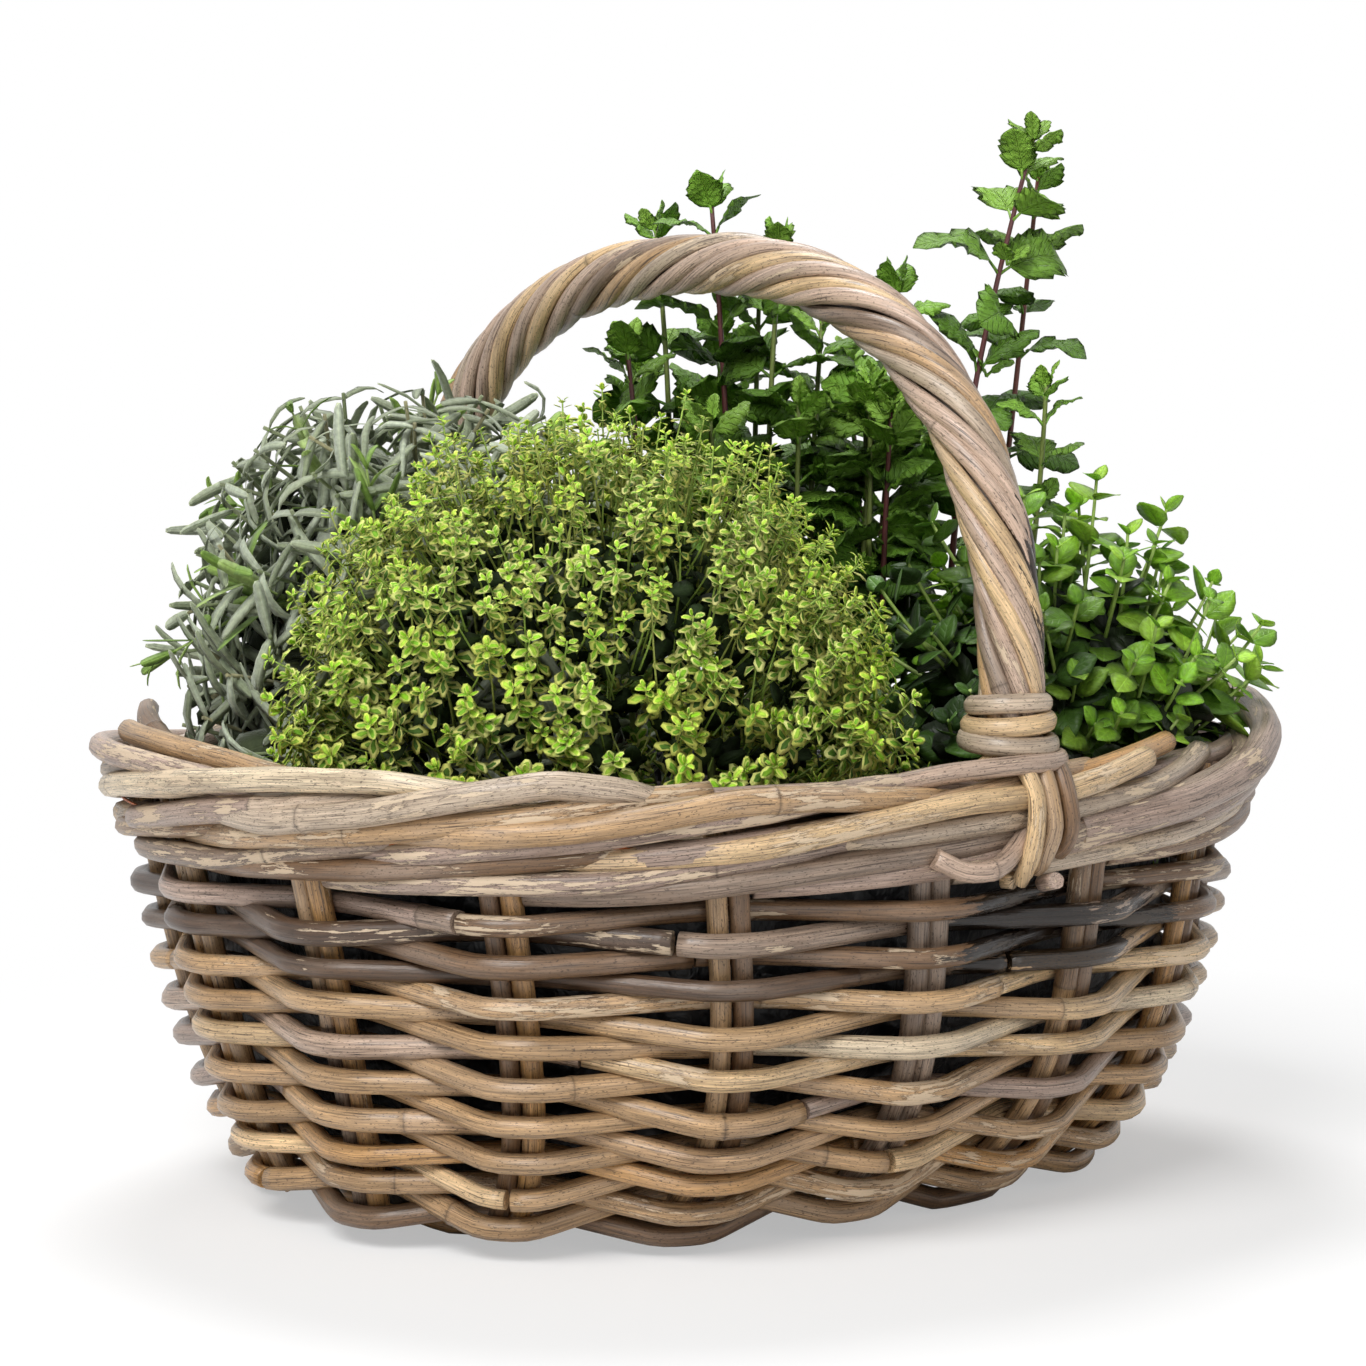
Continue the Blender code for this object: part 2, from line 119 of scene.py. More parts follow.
# the oval wall: half sizes of the stake line at the rim, and how they shrink towards the foot
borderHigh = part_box("border_rod_1")[1]
basket = dict(
    rimHeight=borderHigh.z + 1 * mm,
    halfLength=borderHigh.x - 16.7 * mm, halfWidth=borderHigh.y - 16.7 * mm,
    ovalPower=2.35,
    # how much of each size is lost down to the foot: evenly, and in the last tuck inwards
    lengthTaper=(0.195, 0.03), widthTaper=(0.08, 0.38), tuckPower=5.0,
    stakePairs=16, stakeRadius=3.6 * mm, stakeSpread=3.7 * mm, stakeLow=4.5 * mm, stakeHigh=146.5 * mm,
    stakeTones=("honey", "tan", "brown", "grey"),
)


def signedPower(value, power):
    return np.sign(value) * np.abs(value) ** power


def wallScale(z):
    # shares of the rim's length and width at height z
    depth = 1 - z / basket["rimHeight"]
    tuck = np.maximum(depth, 0) ** basket["tuckPower"]
    return (
        1 - basket["lengthTaper"][0] * depth - basket["lengthTaper"][1] * tuck,
        1 - basket["widthTaper"][0] * depth - basket["widthTaper"][1] * tuck,
    )


def wallPoint(turn, z, out=0.0):
    # points of the stake line at parameter turn and height z, moved outwards in plan
    turn, z, out = np.broadcast_arrays(np.asarray(turn, float), z, out)
    scaleX, scaleY = wallScale(z)
    a, b = basket["halfLength"] * scaleX, basket["halfWidth"] * scaleY
    n = basket["ovalPower"]
    x = a * signedPower(np.cos(turn), 2 / n)
    y = b * signedPower(np.sin(turn), 2 / n)
    nx, ny = signedPower(x / a, n - 1) / a, signedPower(y / b, n - 1) / b
    size = np.hypot(nx, ny)
    return np.stack([x + out * nx / size, y + out * ny / size, z * 1.0], -1)


# the parameter of the oval for a share of the way round, from the front middle
tableTurn = np.linspace(-math.pi / 2, 1.5 * math.pi, 4001)
tablePoint = wallPoint(tableTurn, basket["rimHeight"] * 0.6)
tableRun = runAlong(tablePoint)
tableShare = tableRun / tableRun[-1]


def turnAt(share):
    share = np.asarray(share, float)
    whole = np.floor(share)
    return np.interp(share - whole, tableShare, tableTurn) + 2 * math.pi * whole


def wallAt(share, z, out=0.0):
    # the same as wallPoint, by the share of the way round
    return wallPoint(turnAt(share), z, out)


def meshPiece(name, points, faces, material, slotName, replaced=(), smooth=1, **attributes):
    # faces is a list of arrays; the first few, by smooth, are shaded smooth and the rest flat
    mesh = bpy.data.meshes.new(name)
    points = np.asarray(points, np.float32)
    faces = [np.asarray(part, np.int32) for part in faces]
    mesh.vertices.add(len(points))
    mesh.vertices.foreach_set("co", points.ravel())
    loops = np.concatenate([part.ravel() for part in faces])
    sizes = np.concatenate([np.full(len(part), part.shape[1], np.int32) for part in faces])
    starts = np.concatenate([[0], np.cumsum(sizes)[:-1]]).astype(np.int32)
    mesh.loops.add(len(loops))
    mesh.loops.foreach_set("vertex_index", loops)
    mesh.polygons.add(len(sizes))
    mesh.polygons.foreach_set("loop_start", starts)
    mesh.polygons.foreach_set("loop_total", sizes)
    rounded = np.concatenate([np.full(len(part), number < smooth) for number, part in enumerate(faces)])
    mesh.polygons.foreach_set("use_smooth", rounded)
    for key, value in attributes.items():
        layer = mesh.attributes.new(key, "FLOAT_VECTOR", "POINT")
        layer.data.foreach_set("vector", np.asarray(value, np.float32).ravel())
    mesh.update()
    mesh.validate()
    piece = bpy.data.objects.new(name, mesh)
    bpy.context.scene.collection.objects.link(piece)
    mesh.materials.append(material)
    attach(piece, "root")
    if replaced:
        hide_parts(*replaced)
    return piece


def nodesCalled(*starts):
    return [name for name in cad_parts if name.startswith(starts)]


def smoothPath(points, reach, closed=False, step=1 * mm):
    # resamples a polyline evenly and rounds its bends over about reach metres
    points = np.asarray(points, float)
    if closed:
        points = np.concatenate([points, points[:1]])
    run = runAlong(points)
    count = max(int(run[-1] / step), 4)
    places = np.linspace(0, run[-1], count, endpoint=not closed)
    path = np.stack([np.interp(places, run, points[:, i]) for i in range(3)], -1)
    half = max(int(reach / step / 2), 1)
    kernel = np.hanning(2 * half + 3)[1:-1]
    kernel /= kernel.sum()
    if closed:
        padded = np.concatenate([path[-half:], path, path[:half]])
    else:
        padded = np.concatenate([
            2 * path[:1] - path[half:0:-1], path, 2 * path[-1:] - path[-2:-half - 2:-1],
        ])
    return np.stack([np.convolve(padded[:, i], kernel, "valid") for i in range(3)], -1)


# skin colours of weathered rattan, from fresh honey to the grey and the pinkish bloom of old rods
# dark also serves as painted shade, on the handle's core and on the low rods inside the rim
rodTones = dict(
    honey="#b58b58", tan="#ac8c66", straw="#ceb086", cream="#cebc9f", bleached="#b6a48f", amber="#a87c4e",
    pink="#b89f8c", mauve="#a28c7e", grey="#8d7a6a", brown="#75593f", dark="#483629",
)
toneColour = {key: np.array(linearColour(value)[:3]) for key, value in rodTones.items()}


def newBundle(seed):
    # rods that become one piece, with their own random numbers
    return dict(points=[], quads=[], caps={}, colour=[], spot=[], wear=[], count=0,
                chance=np.random.default_rng(seed))


def rodNodes(chance, length, nodeGap):
    # places of the leaf nodes along a rod
    nodes, place = [], chance.uniform(20 * mm, nodeGap[1])
    while place < length - 12 * mm:
        nodes.append(place)
        place += chance.uniform(*nodeGap)
    return nodes


def rodSkin(chance, tones, nodes, places):
    # the skin changes tone a little at each node, sometimes a lot
    tone = tones[chance.integers(len(tones))]
    stops, colours = [0.0], [toneColour[tone] * chance.uniform(0.86, 1.12)]
    for node in nodes:
        stops += [node - 0.4 * mm, node + 0.4 * mm]
        following = toneColour[tones[chance.integers(len(tones))]]
        mix = chance.choice([0.15, 0.8], p=[0.65, 0.35])
        colours += [colours[-1], (colours[-1] * (1 - mix) + following * mix) * chance.uniform(0.9, 1.1)]
    stops.append(places[-1])
    colours.append(colours[-1] * chance.uniform(0.9, 1.1))
    colours = np.array(colours)
    return np.stack([np.interp(places, stops, colours[:, i]) for i in range(3)], -1)


def addRod(bundle, path, radius, tones, sides=10, step=3.4 * mm, flat=(1, 1), lead=(0, 0, 1),
           wear=0.45, stain=None, nodeGap=(0.22, 0.55), lumpy=0.03):
    # one rattan rod along path, with leaf nodes, uneven thickness and cut ends; lead is what its
    # section's height points along, flat its width and height, and stain gives the soot on it
    chance = bundle["chance"]
    path = np.asarray(path, float)
    run = runAlong(path)
    length = run[-1]
    nodes = rodNodes(chance, length, nodeGap)
    places = list(np.linspace(0, length, max(int(length / step), 3) + 1))
    # more rings at each node, for its ridge
    for node in nodes:
        places += [node + away * mm for away in (-2.2, -0.5, 0.0, 0.5, 1.6)]
    places = np.unique(np.round(np.clip(places, 0, length), 6))
    centre = np.stack([np.interp(places, run, path[:, i]) for i in range(3)], -1)
    tangent = unit(np.gradient(centre, places, axis=0))
    lead = np.asarray(lead, float)
    if lead.ndim == 2:
        lead = np.stack([np.interp(places, run, lead[:, i]) for i in range(3)], -1)
    side = unit(np.cross(tangent, np.broadcast_to(lead, tangent.shape)))
    up = np.cross(side, tangent)

    knots = np.linspace(0, length, max(int(length / (30 * mm)), 2) + 1)
    thick = np.interp(places, knots, radius * (1 + lumpy * chance.standard_normal(len(knots))))
    nearest = np.full(len(places), 9.0)      # mm to the nearest node
    for node in nodes:
        nearest = np.minimum(nearest, np.abs(places - node) / mm)
    thick *= 1 + 0.075 * np.clip(1 - nearest / 2.2, 0, 1)
    angle = 2 * math.pi * (np.arange(sides) + 0.5) / sides
    uneven = 1 + 0.025 * chance.standard_normal(sides)
    across = thick[:, None] * (np.cos(angle) * uneven * flat[0])
    high = thick[:, None] * (np.sin(angle) * uneven * flat[1])
    points = centre[:, None] + side[:, None] * across[..., None] + up[:, None] * high[..., None]
    rings = len(places)
    index = bundle["count"] + np.arange(rings * sides).reshape(rings, sides)
    bundle["points"].append(points.reshape(-1, 3))
    bundle["quads"].append(ringQuads(index))
    bundle["caps"].setdefault(sides, []).extend([index[0][::-1], index[-1]])
    bundle["count"] += rings * sides

    skin = rodSkin(chance, tones, nodes, places)
    worn = np.interp(places, knots, np.clip(wear + 0.35 * chance.standard_normal(len(knots)), 0, 1))
    ring = np.clip(1 - nearest / 0.8, 0, 1)
    black = np.zeros(rings) if stain is None else stain(centre)
    start = chance.uniform(0, 4000)
    spot = np.stack(np.broadcast_arrays(across / mm, high / mm, places[:, None] / mm + start), -1)
    bundle["spot"].append(spot.reshape(-1, 3))
    bundle["colour"].append(np.repeat(skin, sides, axis=0))
    bundle["wear"].append(np.repeat(np.stack([ring, worn, black], -1), sides, axis=0))


def rodPiece(name, bundle, material, slotName, replaced=()):
    faces = [np.concatenate(bundle["quads"])]
    faces += [np.array(caps) for caps in bundle["caps"].values()]
    return meshPiece(
        name, np.concatenate(bundle["points"]), faces, material, slotName, replaced,
        rodSpot=np.concatenate(bundle["spot"]), rodColour=np.concatenate(bundle["colour"]),
        rodWear=np.concatenate(bundle["wear"]))


def rattanMaterial(name, bloom, roughness, streaks):
    # unpeeled cane skin, satin where it is whole and chalky where it has flaked off; bloom is how
    # much pale haze lies on it and streaks how strong its lengthwise fibres are
    material, tree = newMaterial(name)
    spot = addNode(tree, "Attribute", out="Vector", attribute_name="rodSpot")
    skin = addNode(tree, "Attribute", out="Vector", attribute_name="rodColour")
    wear = addNode(tree, "Attribute", out="Vector", attribute_name="rodWear")
    ring, worn, black = addNode(tree, "SeparateXYZ", {0: wear}).node.outputs
    # patterns by their spacing in mm across and along the rod, their detail and their roughness
    grains = dict(
        fibres=(0.8, 34, 4, 0.55), fine=(0.35, 9, 3, 0.55), cloud=(9, 42, 3, 0.55),
        flake=(2.0, 16, 6, 0.66), specks=(0.5, 1.3, 2, 0.55), cracks=(0.5, 26, 3, 0.6),
    )
    pattern = {}
    for key, (across, along, detail, rough) in grains.items():
        scaled = addNode(tree, "Mapping", {"Vector": spot, "Scale": (1 / across, 1 / across, 1 / along)})
        pattern[key] = addNode(tree, "TexNoise", {
            "Vector": scaled, "Scale": 1.0, "Detail": detail, "Roughness": rough})
    # where the skin has come off, more of it where the rod is worn, and the dark lip of each flake
    level = addNode(tree, "MapRange", {
        "Value": worn, "From Min": 0.35, "From Max": 1.0, "To Min": 0.76, "To Max": 0.50})
    above = addNode(tree, "Math", {0: pattern["flake"], 1: level}, operation="SUBTRACT")
    bare = addNode(tree, "MapRange", {"Value": above, "From Min": 0.0, "From Max": 0.012})
    whole = addNode(tree, "Math", {0: 1.0, 1: bare}, operation="SUBTRACT")
    lip = addNode(tree, "MapRange", {"Value": above, "From Min": -0.03, "From Max": 0.0})
    lip = addNode(tree, "Math", {0: lip, 1: whole}, operation="MULTIPLY")
    sooty = addNode(tree, "Math", {0: pattern["flake"], 1: 2.2, 2: black}, operation="MULTIPLY_ADD")
    charred = addNode(tree, "MapRange", {"Value": sooty, "From Min": 1.54, "From Max": 1.60, "To Max": 0.97})

    colour = skin
    silica = dict(fibres=[(0.28, 0.52), (0.47, 0.96), (0.72, 1.40)], fine=[(0.34, 0.74), (0.66, 1.22)])
    for key, stops in silica.items():
        shade = addNode(tree, "ValToRGB", {0: pattern[key]}, stops=stops)
        colour = addNode(tree, "Mix", {0: streaks, 6: colour, 7: shade}, **multiply)
    # what lies over the skin: (pattern, where it starts, where it is full, strength, colour)
    layers = (
        (pattern["cloud"], 0.45, 0.70, bloom, "#ab9a8b"), (pattern["cloud"], 0.44, 0.30, 0.45, "#5f4732"),
        (pattern["cracks"], 0.585, 0.645, 0.8, "#33231a"), (pattern["specks"], 0.60, 0.66, 0.7, "#3b2d22"),
        (lip, 0.0, 1.0, 0.8, "#3b2b20"), (bare, 0.0, 1.0, 0.75, "#d3bea2"), (ring, 0.0, 1.0, 0.62, "#36261a"),
    )
    for mask, low, high, strength, tint in layers:
        share = addNode(tree, "MapRange", {
            "Value": mask, "From Min": low, "From Max": high, "To Max": strength})
        colour = addNode(tree, "Mix", {0: share, 6: colour, 7: linearColour(tint)}, **cover)
    # soot: nearly black, and shinier than the skin
    colour = addNode(tree, "Mix", {0: charred, 6: colour, 7: (0.05, 0.045, 0.045, 1)}, **multiply)
    height = 0.0
    for part, share in ((pattern["fibres"], 0.6), (bare, -0.35), (pattern["fine"], 0.25)):
        height = addNode(tree, "Math", {0: part, 1: share, 2: height}, operation="MULTIPLY_ADD")
    bump = addNode(tree, "Bump", {"Height": height, "Strength": 0.55, "Distance": 0.6 * mm})
    dull = addNode(tree, "Math", {0: pattern["fibres"], 1: bare}, operation="ADD")
    rough = addNode(tree, "MapRange", {
        "Value": dull, "From Min": 0.3, "From Max": 1.5, "To Min": roughness, "To Max": roughness + 0.35})
    rough = addNode(tree, "Math", {0: charred, 1: -0.2, 2: rough}, operation="MULTIPLY_ADD")
    shader = addNode(tree, "BsdfPrincipled", {
        "Base Color": colour, "Normal": bump, "IOR": 1.5, "Roughness": rough})
    addNode(tree, "OutputMaterial", {0: shader})
    return material


# side rods keep their satin skin, streaked by age; rim rods are chalky and grey; the handle is between
weatheredRattan = rattanMaterial("weathered rattan, unpeeled", bloom=0.25, roughness=0.27, streaks=1.0)
greyedRattan = rattanMaterial("greyed rattan, thick rim rods", bloom=0.40, roughness=0.33, streaks=0.90)
handleRattan = rattanMaterial("rattan split for winding", bloom=0.40, roughness=0.30, streaks=0.8)

# where the stakes stand, as shares of the way round from the front middle
stakeShare = (np.arange(basket["stakePairs"]) + 0.5) / basket["stakePairs"]


def stakeRun(share):
    # heights of a stake line, and how far up it they are
    levels = np.linspace(basket["stakeLow"], basket["stakeHigh"], 121)
    return levels, runAlong(wallPoint(turnAt(share), levels))


def stakeAt(share, climb):
    # the point climb metres up a stake, with its outward and its sideways directions
    levels, run = stakeRun(share)
    turn, z = turnAt(share), np.interp(climb, run, levels)
    rise = unit(wallPoint(turn, z + mm) - wallPoint(turn, z - mm))
    out = unit(wallPoint(turn, basket["rimHeight"], 10 * mm) - wallPoint(turn, basket["rimHeight"]))
    along = np.array([-out[1], out[0], 0.0])
    normal = unit(np.cross(along, rise))
    return wallPoint(turn, z), normal * np.sign(normal @ out), along


def blackened(centre):
    # the sooty patches under the front handle foot: (place, reach), in metres
    spots = (
        ((-0.034, -0.168, 0.106), 0.016), ((-0.002, -0.169, 0.109), 0.026), ((0.022, -0.169, 0.112), 0.018),
        ((-0.010, -0.167, 0.0965), 0.018), ((0.026, -0.166, 0.0985), 0.030), ((0.062, -0.163, 0.101), 0.022),
    )
    value = np.zeros(len(centre))
    for place, size in spots:
        away = np.linalg.norm((centre - np.array(place)) / [1, 1, 0.32], axis=1)
        value = np.maximum(value, np.clip(1.6 - away / size, 0, 1))
    return value


weave = dict(
    # the tones of the rods in each row, from the foot up: paler in the middle, darker under the rim
    rowTones=(
        ("brown", "tan"), ("tan", "brown", "honey"), ("tan", "honey"), ("straw", "tan"),
        ("honey", "mauve", "tan"), ("tan", "straw", "honey"), ("mauve", "tan", "pink"),
        ("tan", "pink", "honey"), ("tan", "mauve", "brown"), ("amber", "straw", "tan"),
        ("straw", "tan", "mauve"), ("straw", "cream", "tan"), ("straw", "tan", "amber"),
        ("straw", "grey", "tan"), ("brown", "dark", "tan"), ("dark", "brown", "grey"),
        ("dark", "grey", "mauve"), ("grey", "brown", "mauve"),
    ),
    rows=18, radius=3.7 * mm, offset=7.3 * mm, firstClimb=8.5 * mm, topRow=115.5 * mm, wander=0.7 * mm,
    lowest=4.5 * mm,
    rodLength=(220, 600), shortest=120,      # in mm
    # the hollow under the long sides: how high, and its middle and reach as shares of the way round
    arch=7.5 * mm, archMiddle=0.93, archReach=0.055, archedRows=7,
)


def archUnder(share):
    # the long sides are a little hollow underneath
    away = (share - weave["archMiddle"] + 0.25) % 0.5 - 0.25
    return weave["arch"] * math.exp(-(away / weave["archReach"]) ** 2)


bundle = newBundle(11)
chance = bundle["chance"]
flatReach = basket["stakeSpread"] + basket["stakeRadius"] + 0.5 * mm
for row in range(weave["rows"]):
    band = row / (weave["rows"] - 1)
    path = []
    shift = chance.normal(0, weave["wander"], basket["stakePairs"])
    for index, share in enumerate(stakeShare):
        high = np.interp(weave["topRow"], *stakeRun(share))
        climb = weave["firstClimb"] + (high - weave["firstClimb"]) * band
        climb += archUnder(share) * max(1 - row / weave["archedRows"], 0)
        point, normal, along = stakeAt(share, climb + shift[index])
        outside = 1 if (index + row) % 2 == 0 else -1
        centre = point + normal * outside * (weave["offset"] + chance.normal(0, 0.3 * mm))
        path += [centre - along * flatReach, centre + along * flatReach]
    path = smoothPath(path, 17 * mm, closed=True)
    path[:, 2] = np.maximum(path[:, 2], weave["lowest"])
    # the row is made of rods laid end to end; its path has a point each mm
    count = len(path)
    path = np.concatenate([path, path, path[:2]])
    start = int(chance.uniform(0, count))
    stop = start + count
    while start < stop - weave["shortest"] / 2:
        length = int(chance.uniform(*weave["rodLength"]))
        end = stop if start + length > stop - weave["shortest"] else start + length
        addRod(bundle, path[start:end], weave["radius"] * chance.uniform(0.92, 1.10),
               weave["rowTones"][row], step=4.0 * mm,
               wear=chance.choice([0.1, 0.75], p=[0.75 - 0.5 * band, 0.25 + 0.5 * band]), stain=blackened)
        start = end + 1
rodPiece("weaverRods", bundle, weatheredRattan, "rattan", nodesCalled("weaver_row"))
print("weave done")

bundle = newBundle(23)
for share in stakeShare:
    for side in (-1, 1):
        levels = np.linspace(11.0 * mm + 0.9 * archUnder(share), 151.0 * mm, 36)
        along = stakeAt(share, 0.0)[2]
        lean = bundle["chance"].normal(0, 0.4 * mm)
        line = wallPoint(turnAt(share), levels) + along * (side * (basket["stakeSpread"] + lean))
        addRod(bundle, line, basket["stakeRadius"] * bundle["chance"].uniform(0.94, 1.06),
               basket["stakeTones"], wear=0.25, lead=along)
rodPiece("stakes", bundle, weatheredRattan, "rattan", nodesCalled("stake_pair"))
print("stakes done")


def rimPath(controls, reach=28 * mm):
    # controls are (stakes round from the front middle, height, outwards), all in mm but the first
    controls = np.array(controls, float)
    home = np.abs((controls[:, 0] + 4) % 8 - 4)      # stakes away from the nearer handle foot
    controls[:, 2] -= rim["press"] * np.clip(1 - home / rim["pressReach"], 0, 1) * (controls[:, 2] > 4)
    fine = np.linspace(0, len(controls) - 1, 40 * (len(controls) - 1) + 1)
    share, height, out = (np.interp(fine, np.arange(len(controls)), controls[:, i]) for i in range(3))
    return smoothPath(wallAt(share / basket["stakePairs"], height * mm, out * mm), reach)


rim = dict(
    # heights and distances in mm; press is how far the handle's lashing pulls the rods in, and
    # pressReach how many stakes away it still does
    waleRadius=3.9, waleLow=122.0, waleRise=17.0, borderRadius=4.3, borderLow=132.5, borderRise=22.0,
    outside=8.6, jitter=1.3, press=2.6, pressReach=1.1,
    innerLevels=(134.0, 142.5, 150.5), innerRadius=4.1, topRadius=4.2,
    waleTones=("grey", "mauve", "brown", "bleached", "grey", "mauve", "tan"),
    borderTones=("mauve", "bleached", "grey", "tan", "brown", "mauve"),
)


def rimStrokes(bundle, kind, outside, worn):
    # each rod comes out past its stake, runs outside two more, climbing, and tucks in over the next
    chance = bundle["chance"]
    low, rise, radius = rim[kind + "Low"], rim[kind + "Rise"], rim[kind + "Radius"] * mm
    for stake in range(basket["stakePairs"]):
        at = stake + 0.5
        a, b, c = chance.normal(0, rim["jitter"], 3)
        controls = [
            (at + 0.12, low + 1.5 + a, -1.0), (at + 0.45, low + 0.12 * rise + a, 3.0),
            (at + 0.75, low + 0.20 * rise + a, outside - 0.8),
            (at + 1.5, low + 0.46 * rise + b, outside + 0.4 * b),
            (at + 2.25, low + 0.78 * rise + c, outside - 0.6), (at + 2.6, low + 0.93 * rise + c, 3.0),
            (at + 2.95, low + rise, -2.0),
        ]
        addRod(bundle, rimPath(controls), radius * chance.uniform(0.92, 1.12), rim[kind + "Tones"],
               wear=chance.choice([0.2, 0.85], p=[1 - worn, worn]),
               sides=12, step=4.2 * mm, flat=(1, chance.uniform(0.90, 1.0)), lumpy=0.045)


bundle = newBundle(37)
rimStrokes(bundle, "wale", rim["outside"] - 0.8, 0.7)
rodPiece("waleRods", bundle, greyedRattan, "rattan_grey", nodesCalled("wale_rod"))

bundle = newBundle(41)
rimStrokes(bundle, "border", rim["outside"] + 0.4, 0.75)
chance = bundle["chance"]
# rods that lie along the top of the rim, just inside it
for start in range(0, basket["stakePairs"], 2):
    for level in rim["innerLevels"]:
        at = start + chance.uniform(-0.3, 0.3)
        rise = chance.uniform(-1, 1)
        controls = [
            (at, level - 5, -6), (at + 0.5, level - 2, -8.5), (at + 1.2, level + rise, -8),
            (at + 1.8, level + 1.0, -7.5), (at + 2.3, level - 1.5, -8.5), (at + 2.8, level - 5, -6.5),
        ]
        # the lower ones get brown and dark skins, painted shade down inside the rim; the top ones stay pale
        skins = ("mauve", "grey", "bleached") if level > 145 else ("brown", "dark")
        addRod(bundle, rimPath(controls), rim["innerRadius"] * mm * chance.uniform(0.9, 1.12), skins,
               wear=0.3, lumpy=0.05)
for start in range(1, basket["stakePairs"], 3):
    at = start + chance.uniform(-0.3, 0.3)
    controls = [
        (at, 148, -4), (at + 0.6, 151.5, -2), (at + 1.4, 153.2, -0.5), (at + 2.2, 152.5, -1.0),
        (at + 3.0, 149, -4),
    ]
    addRod(bundle, rimPath(controls), rim["topRadius"] * mm * chance.uniform(0.9, 1.12),
           ("mauve", "tan", "bleached", "grey"), sides=12, wear=0.4, lumpy=0.05)
# the loose ends that show: (tone, radius in mm, controls as rimPath takes them)
looseRods = (
    ("tan", 4.1, [(10.9, 163.0, 0.0), (11.4, 162.0, -2.0), (12.0, 158.5, -5.0), (12.6, 152.5, -9.0)]),
    ("brown", 3.8, [
        (10.3, 167.0, -5.0), (10.7, 164.0, -8.0), (11.3, 156.0, -12.0), (11.8, 148.0, -13.0)]),
    ("mauve", 4.1, [
        (9.5, 150.0, 6.0), (10.3, 155.0, 10.5), (10.9, 157.5, 10.5), (11.5, 157.0, 9.0),
        (12.1, 153.5, 6.5), (12.8, 147.0, 0.0)]),
    ("cream", 4.0, [
        (10.1, 139.0, 7.0), (10.8, 143.5, 10.5), (11.4, 149.0, 11.5), (12.0, 153.5, 11.0),
        (12.6, 157.5, 10.0), (13.1, 158.5, 8.0), (13.5, 154.0, 3.0), (13.8, 148.0, -3.0)]),
    ("bleached", 4.5, [
        (11.6, 141.0, -2.0), (12.0, 145.0, 6.5), (12.5, 143.5, 11.5), (13.05, 149.0, 12.5),
        (13.45, 155.0, 12.0), (13.8, 159.5, 9.5), (14.1, 156.0, 4.0), (14.35, 149.0, -3.0)]),
    ("tan", 4.2, [
        (12.9, 140.0, -2.0), (13.3, 142.5, 7.0), (13.55, 143.3, 11.0), (13.85, 145.0, 12.5),
        (14.15, 148.5, 12.5), (14.5, 153.0, 11.5), (14.85, 153.5, 11.0), (15.2, 151.5, 9.0),
        (15.5, 149.5, 3.0), (15.75, 146.0, -3.0)]),
    ("straw", 4.2, [
        (13.6, 134.0, -2.0), (14.0, 135.0, 5.0), (14.6, 138.5, 10.5), (15.15, 145.5, 12.0),
        (15.6, 149.0, 11.8), (16.1, 149.0, 11.5), (16.45, 152.5, 9.0), (16.75, 157.0, 6.0)]),
    ("honey", 3.8, [(15.8, 149.0, 1.0), (16.5, 154.5, 0.5), (17.1, 160.0, -3.5)]),
    ("mauve", 6.0, [
        (16.3, 136.0, 7.0), (17.0, 141.0, 12.0), (17.6, 149.0, 13.4), (18.1, 158.0, 12.0),
        (18.6, 164.5, 8.0), (19.2, 166.5, 2.0), (19.9, 163.0, -4.0), (20.4, 155.0, -8.0)]),
)
for tone, radius, controls in looseRods:
    addRod(bundle, rimPath(controls, 20 * mm), radius * mm, (tone,),
           sides=14, step=4 * mm, wear=0.75, lumpy=0.05)
rodPiece("borderRods", bundle, greyedRattan, "rattan_grey", nodesCalled("border_rod"))
print("rim done")

# the twisted copper wire that ties the rim rods, in mm; waves are (height, how many round, phase)
wire = dict(height=138.5, out=6.8, radius=0.38, twists=200, coil=0.33, waves=((1.6, 5, 0), (0.9, 13, 1)))
bundle = newBundle(43)
around = np.linspace(0, 1, 1200)
wave = sum(size * np.sin(2 * math.pi * count * around + phase) for size, count, phase in wire["waves"])
for strand in (0, math.pi):
    twist = 2 * math.pi * wire["twists"] * around + strand
    height = wire["height"] + wave + wire["coil"] * np.sin(twist)
    out = wire["out"] + wire["coil"] * np.cos(twist)
    addRod(bundle, wallAt(around, height * mm, out * mm), wire["radius"] * mm, ("amber",),
           sides=4, step=1.2 * mm, nodeGap=(9, 10), lumpy=0)
# drawn copper wire: orange metal, dulled brown where it has tarnished
copper, tree = newMaterial("copper wire, drawn and tarnished")
place = addNode(tree, "TexCoord", out="Object")
tarnish = addNode(tree, "TexNoise", {"Vector": place, "Scale": 1 / (1.6 * mm), "Detail": 3.0})
tint = addNode(tree, "ValToRGB", {0: tarnish}, stops=[(0.35, "#8a4b2c"), (0.65, "#c9794c")])
shader = addNode(tree, "BsdfPrincipled", {"Base Color": tint, "Metallic": 1.0, "Roughness": 0.36})
addNode(tree, "OutputMaterial", {0: shader})
rodPiece("rimWire", bundle, copper, "rattan_grey")

wrapLow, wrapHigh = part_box("handle_wrap")
handle = dict(
    halfSpan=wrapHigh.y - 11 * mm, top=wrapHigh.z - 11 * mm, foot=wrapLow.z, power=2.4, footIn=5 * mm,
    strands=9, strandRadius=3.1 * mm, strandHigh=0.86, seat=8.3 * mm, turns=3.9, coreRadius=6.2 * mm,
    strandTones=(
        ("bleached",), ("cream", "tan"), ("grey", "brown"), ("pink",), ("straw", "cream"),
        ("pink", "grey"), ("straw",), ("grey", "pink"), ("pink",),
    ),
)


